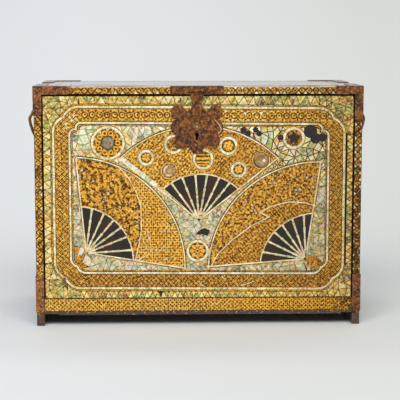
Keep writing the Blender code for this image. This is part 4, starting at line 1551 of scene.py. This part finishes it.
def dress_frame():
    """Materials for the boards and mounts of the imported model."""
    front_edge = top_low.y / mm
    # The top's front rim carries a pale painted highlight where the edge catches the light
    top_lacquer = lacquer_finish(
        "top_lacquer", srgb(106, 84, 54), srgb(190, 148, 86), 0.22, 0.9, 0.58,
        rim=lambda f: f.y.below(front_edge + 1.0, 1.2).both(f.z.above(case_top - 1.3, 0.6)))
    side_lacquer = lacquer_finish("side_lacquer", lacquer_black, srgb(190, 130, 60), 0.34, 0.6, 0.60)
    frame_material(top_lacquer, "top_board")
    frame_material(side_lacquer, "left_side_board", "right_side_board", "back_board", "bottom_board")
    frame_material(gold_finish("panel_ground", panel_pattern, 0.1), "front_panel")
    frame_material(iron_finish("hasp_iron", drawing=hasp_drawing, tint=lock_tint), "hasp")
    frame_material(iron_finish("lock_iron", tint=lock_tint), "lock_plate", "hasp_plate", "hasp_pin")
    frame_material(iron_finish("pale_iron", 0.07), "left_foot_strap")
    frame_material(iron, "right_foot_strap", "top_left_front_mount", "top_right_front_mount",
                   "top_left_back_mount", "top_right_back_mount", "left_bail", "right_bail",
                   "left_bail_post_front", "left_bail_post_back", "right_bail_post_front",
                   "right_bail_post_back")


def build_camera():
    """The camera at the photograph's place, with its tilt and turn."""
    data = bpy.data.cameras.new("camera")
    data.lens = focal_pixels * sensor_width / image_pixels
    data.sensor_width = sensor_width
    data.clip_end = 50.0
    camera = placed("camera", data)
    down, turn = camera_down, camera_turn
    right = Vector((math.cos(turn), -math.sin(turn), 0.0))
    ahead = Vector((math.sin(turn) * math.cos(down), math.cos(turn) * math.cos(down), -math.sin(down)))
    up = right.cross(ahead)
    turn_matrix = Matrix((right, up, -ahead)).transposed().to_4x4()
    place = Vector((-camera_left, top_low.y - camera_ahead, camera_height))
    camera.matrix_world = Matrix.Translation(place) @ turn_matrix
    bpy.context.scene.camera = camera


def build_stage():
    """A pale floor that curves up into a backdrop, its paper painted darker and warmer towards the right
    as shade where the light falls off.
    """
    bend, behind, ahead, wide, tall = 4.5, 0.5, 6.0, 6.0, 6.0
    section = [(-ahead, 0.0)]
    section += [(behind + bend * math.sin(a), bend - bend * math.cos(a))
                for a in (0.5 * math.pi * step / bend_steps for step in range(bend_steps + 1))]
    section.append((behind + bend, tall))
    bm = bmesh.new()
    rows = [[bm.verts.new((x, y, z)) for y, z in section] for x in (-wide, wide)]
    for i in range(len(section) - 1):
        bm.faces.new((rows[0][i], rows[1][i], rows[1][i + 1], rows[0][i + 1])).smooth = True
    floor = placed("studio_floor", mesh_from(bm, "studio_floor"))
    paper = Finish("studio_paper", 0.9, specular=0.1)
    # Painted shade: the paper is darker and warmer to the right, where the light falls off
    aside = (paper.x + paper.noise(900.0, 2.0) * 200.0).above(250.0, 1100.0)
    paper.colour(paper.mix(aside, srgb(230, 234, 238), srgb(220, 222, 218)))
    floor.data.materials.append(paper.material)


def area_light(name, place, aim, size, power):
    """A soft oblong light at one place, turned towards another, that the camera doesn't see."""
    data = bpy.data.lights.new(name, "AREA")
    data.shape = "RECTANGLE"
    data.size, data.size_y = size
    data.energy = power
    light = placed(name, data)
    light.location = place
    light.rotation_euler = (Vector(aim) - Vector(place)).to_track_quat("-Z", "Y").to_euler()
    light.visible_camera = False


def build_lights():
    """Even, soft studio light, a little stronger from the left, and some on the backdrop."""
    area_light("key", (-1.1, -3.2, 3.5), (0.0, -0.3, 0.1), (2.8, 2.8), 129.0)
    area_light("fill", (1.2, -3.2, 3.4), (0.0, -0.3, 0.1), (2.8, 2.8), 84.0)
    area_light("backdrop", (0.4, 1.3, 3.0), (0.5, 3.2, 0.0), (4.0, 1.4), 46.0)
    world = bpy.data.worlds.new("studio")
    world.use_nodes = True
    background = world.node_tree.nodes["Background"]
    background.inputs["Color"].default_value = (1.0, 1.0, 1.0, 1.0)
    background.inputs["Strength"].default_value = 0.16
    bpy.context.scene.world = world
    bpy.context.scene.view_settings.view_transform = "Standard"


for build in (build_camera, build_stage, build_lights, dress_frame, build_leaf_grounds, build_scrolls,
              build_fans, build_guard_band, build_leaf_lines, build_frames, build_gaps, build_gold_band,
              build_border_mosaic, build_ground_mosaic, build_roundels, build_patches,
              build_shell_triangles, build_rail, build_posts, build_base, build_nails,
              build_other_faces):
    build()
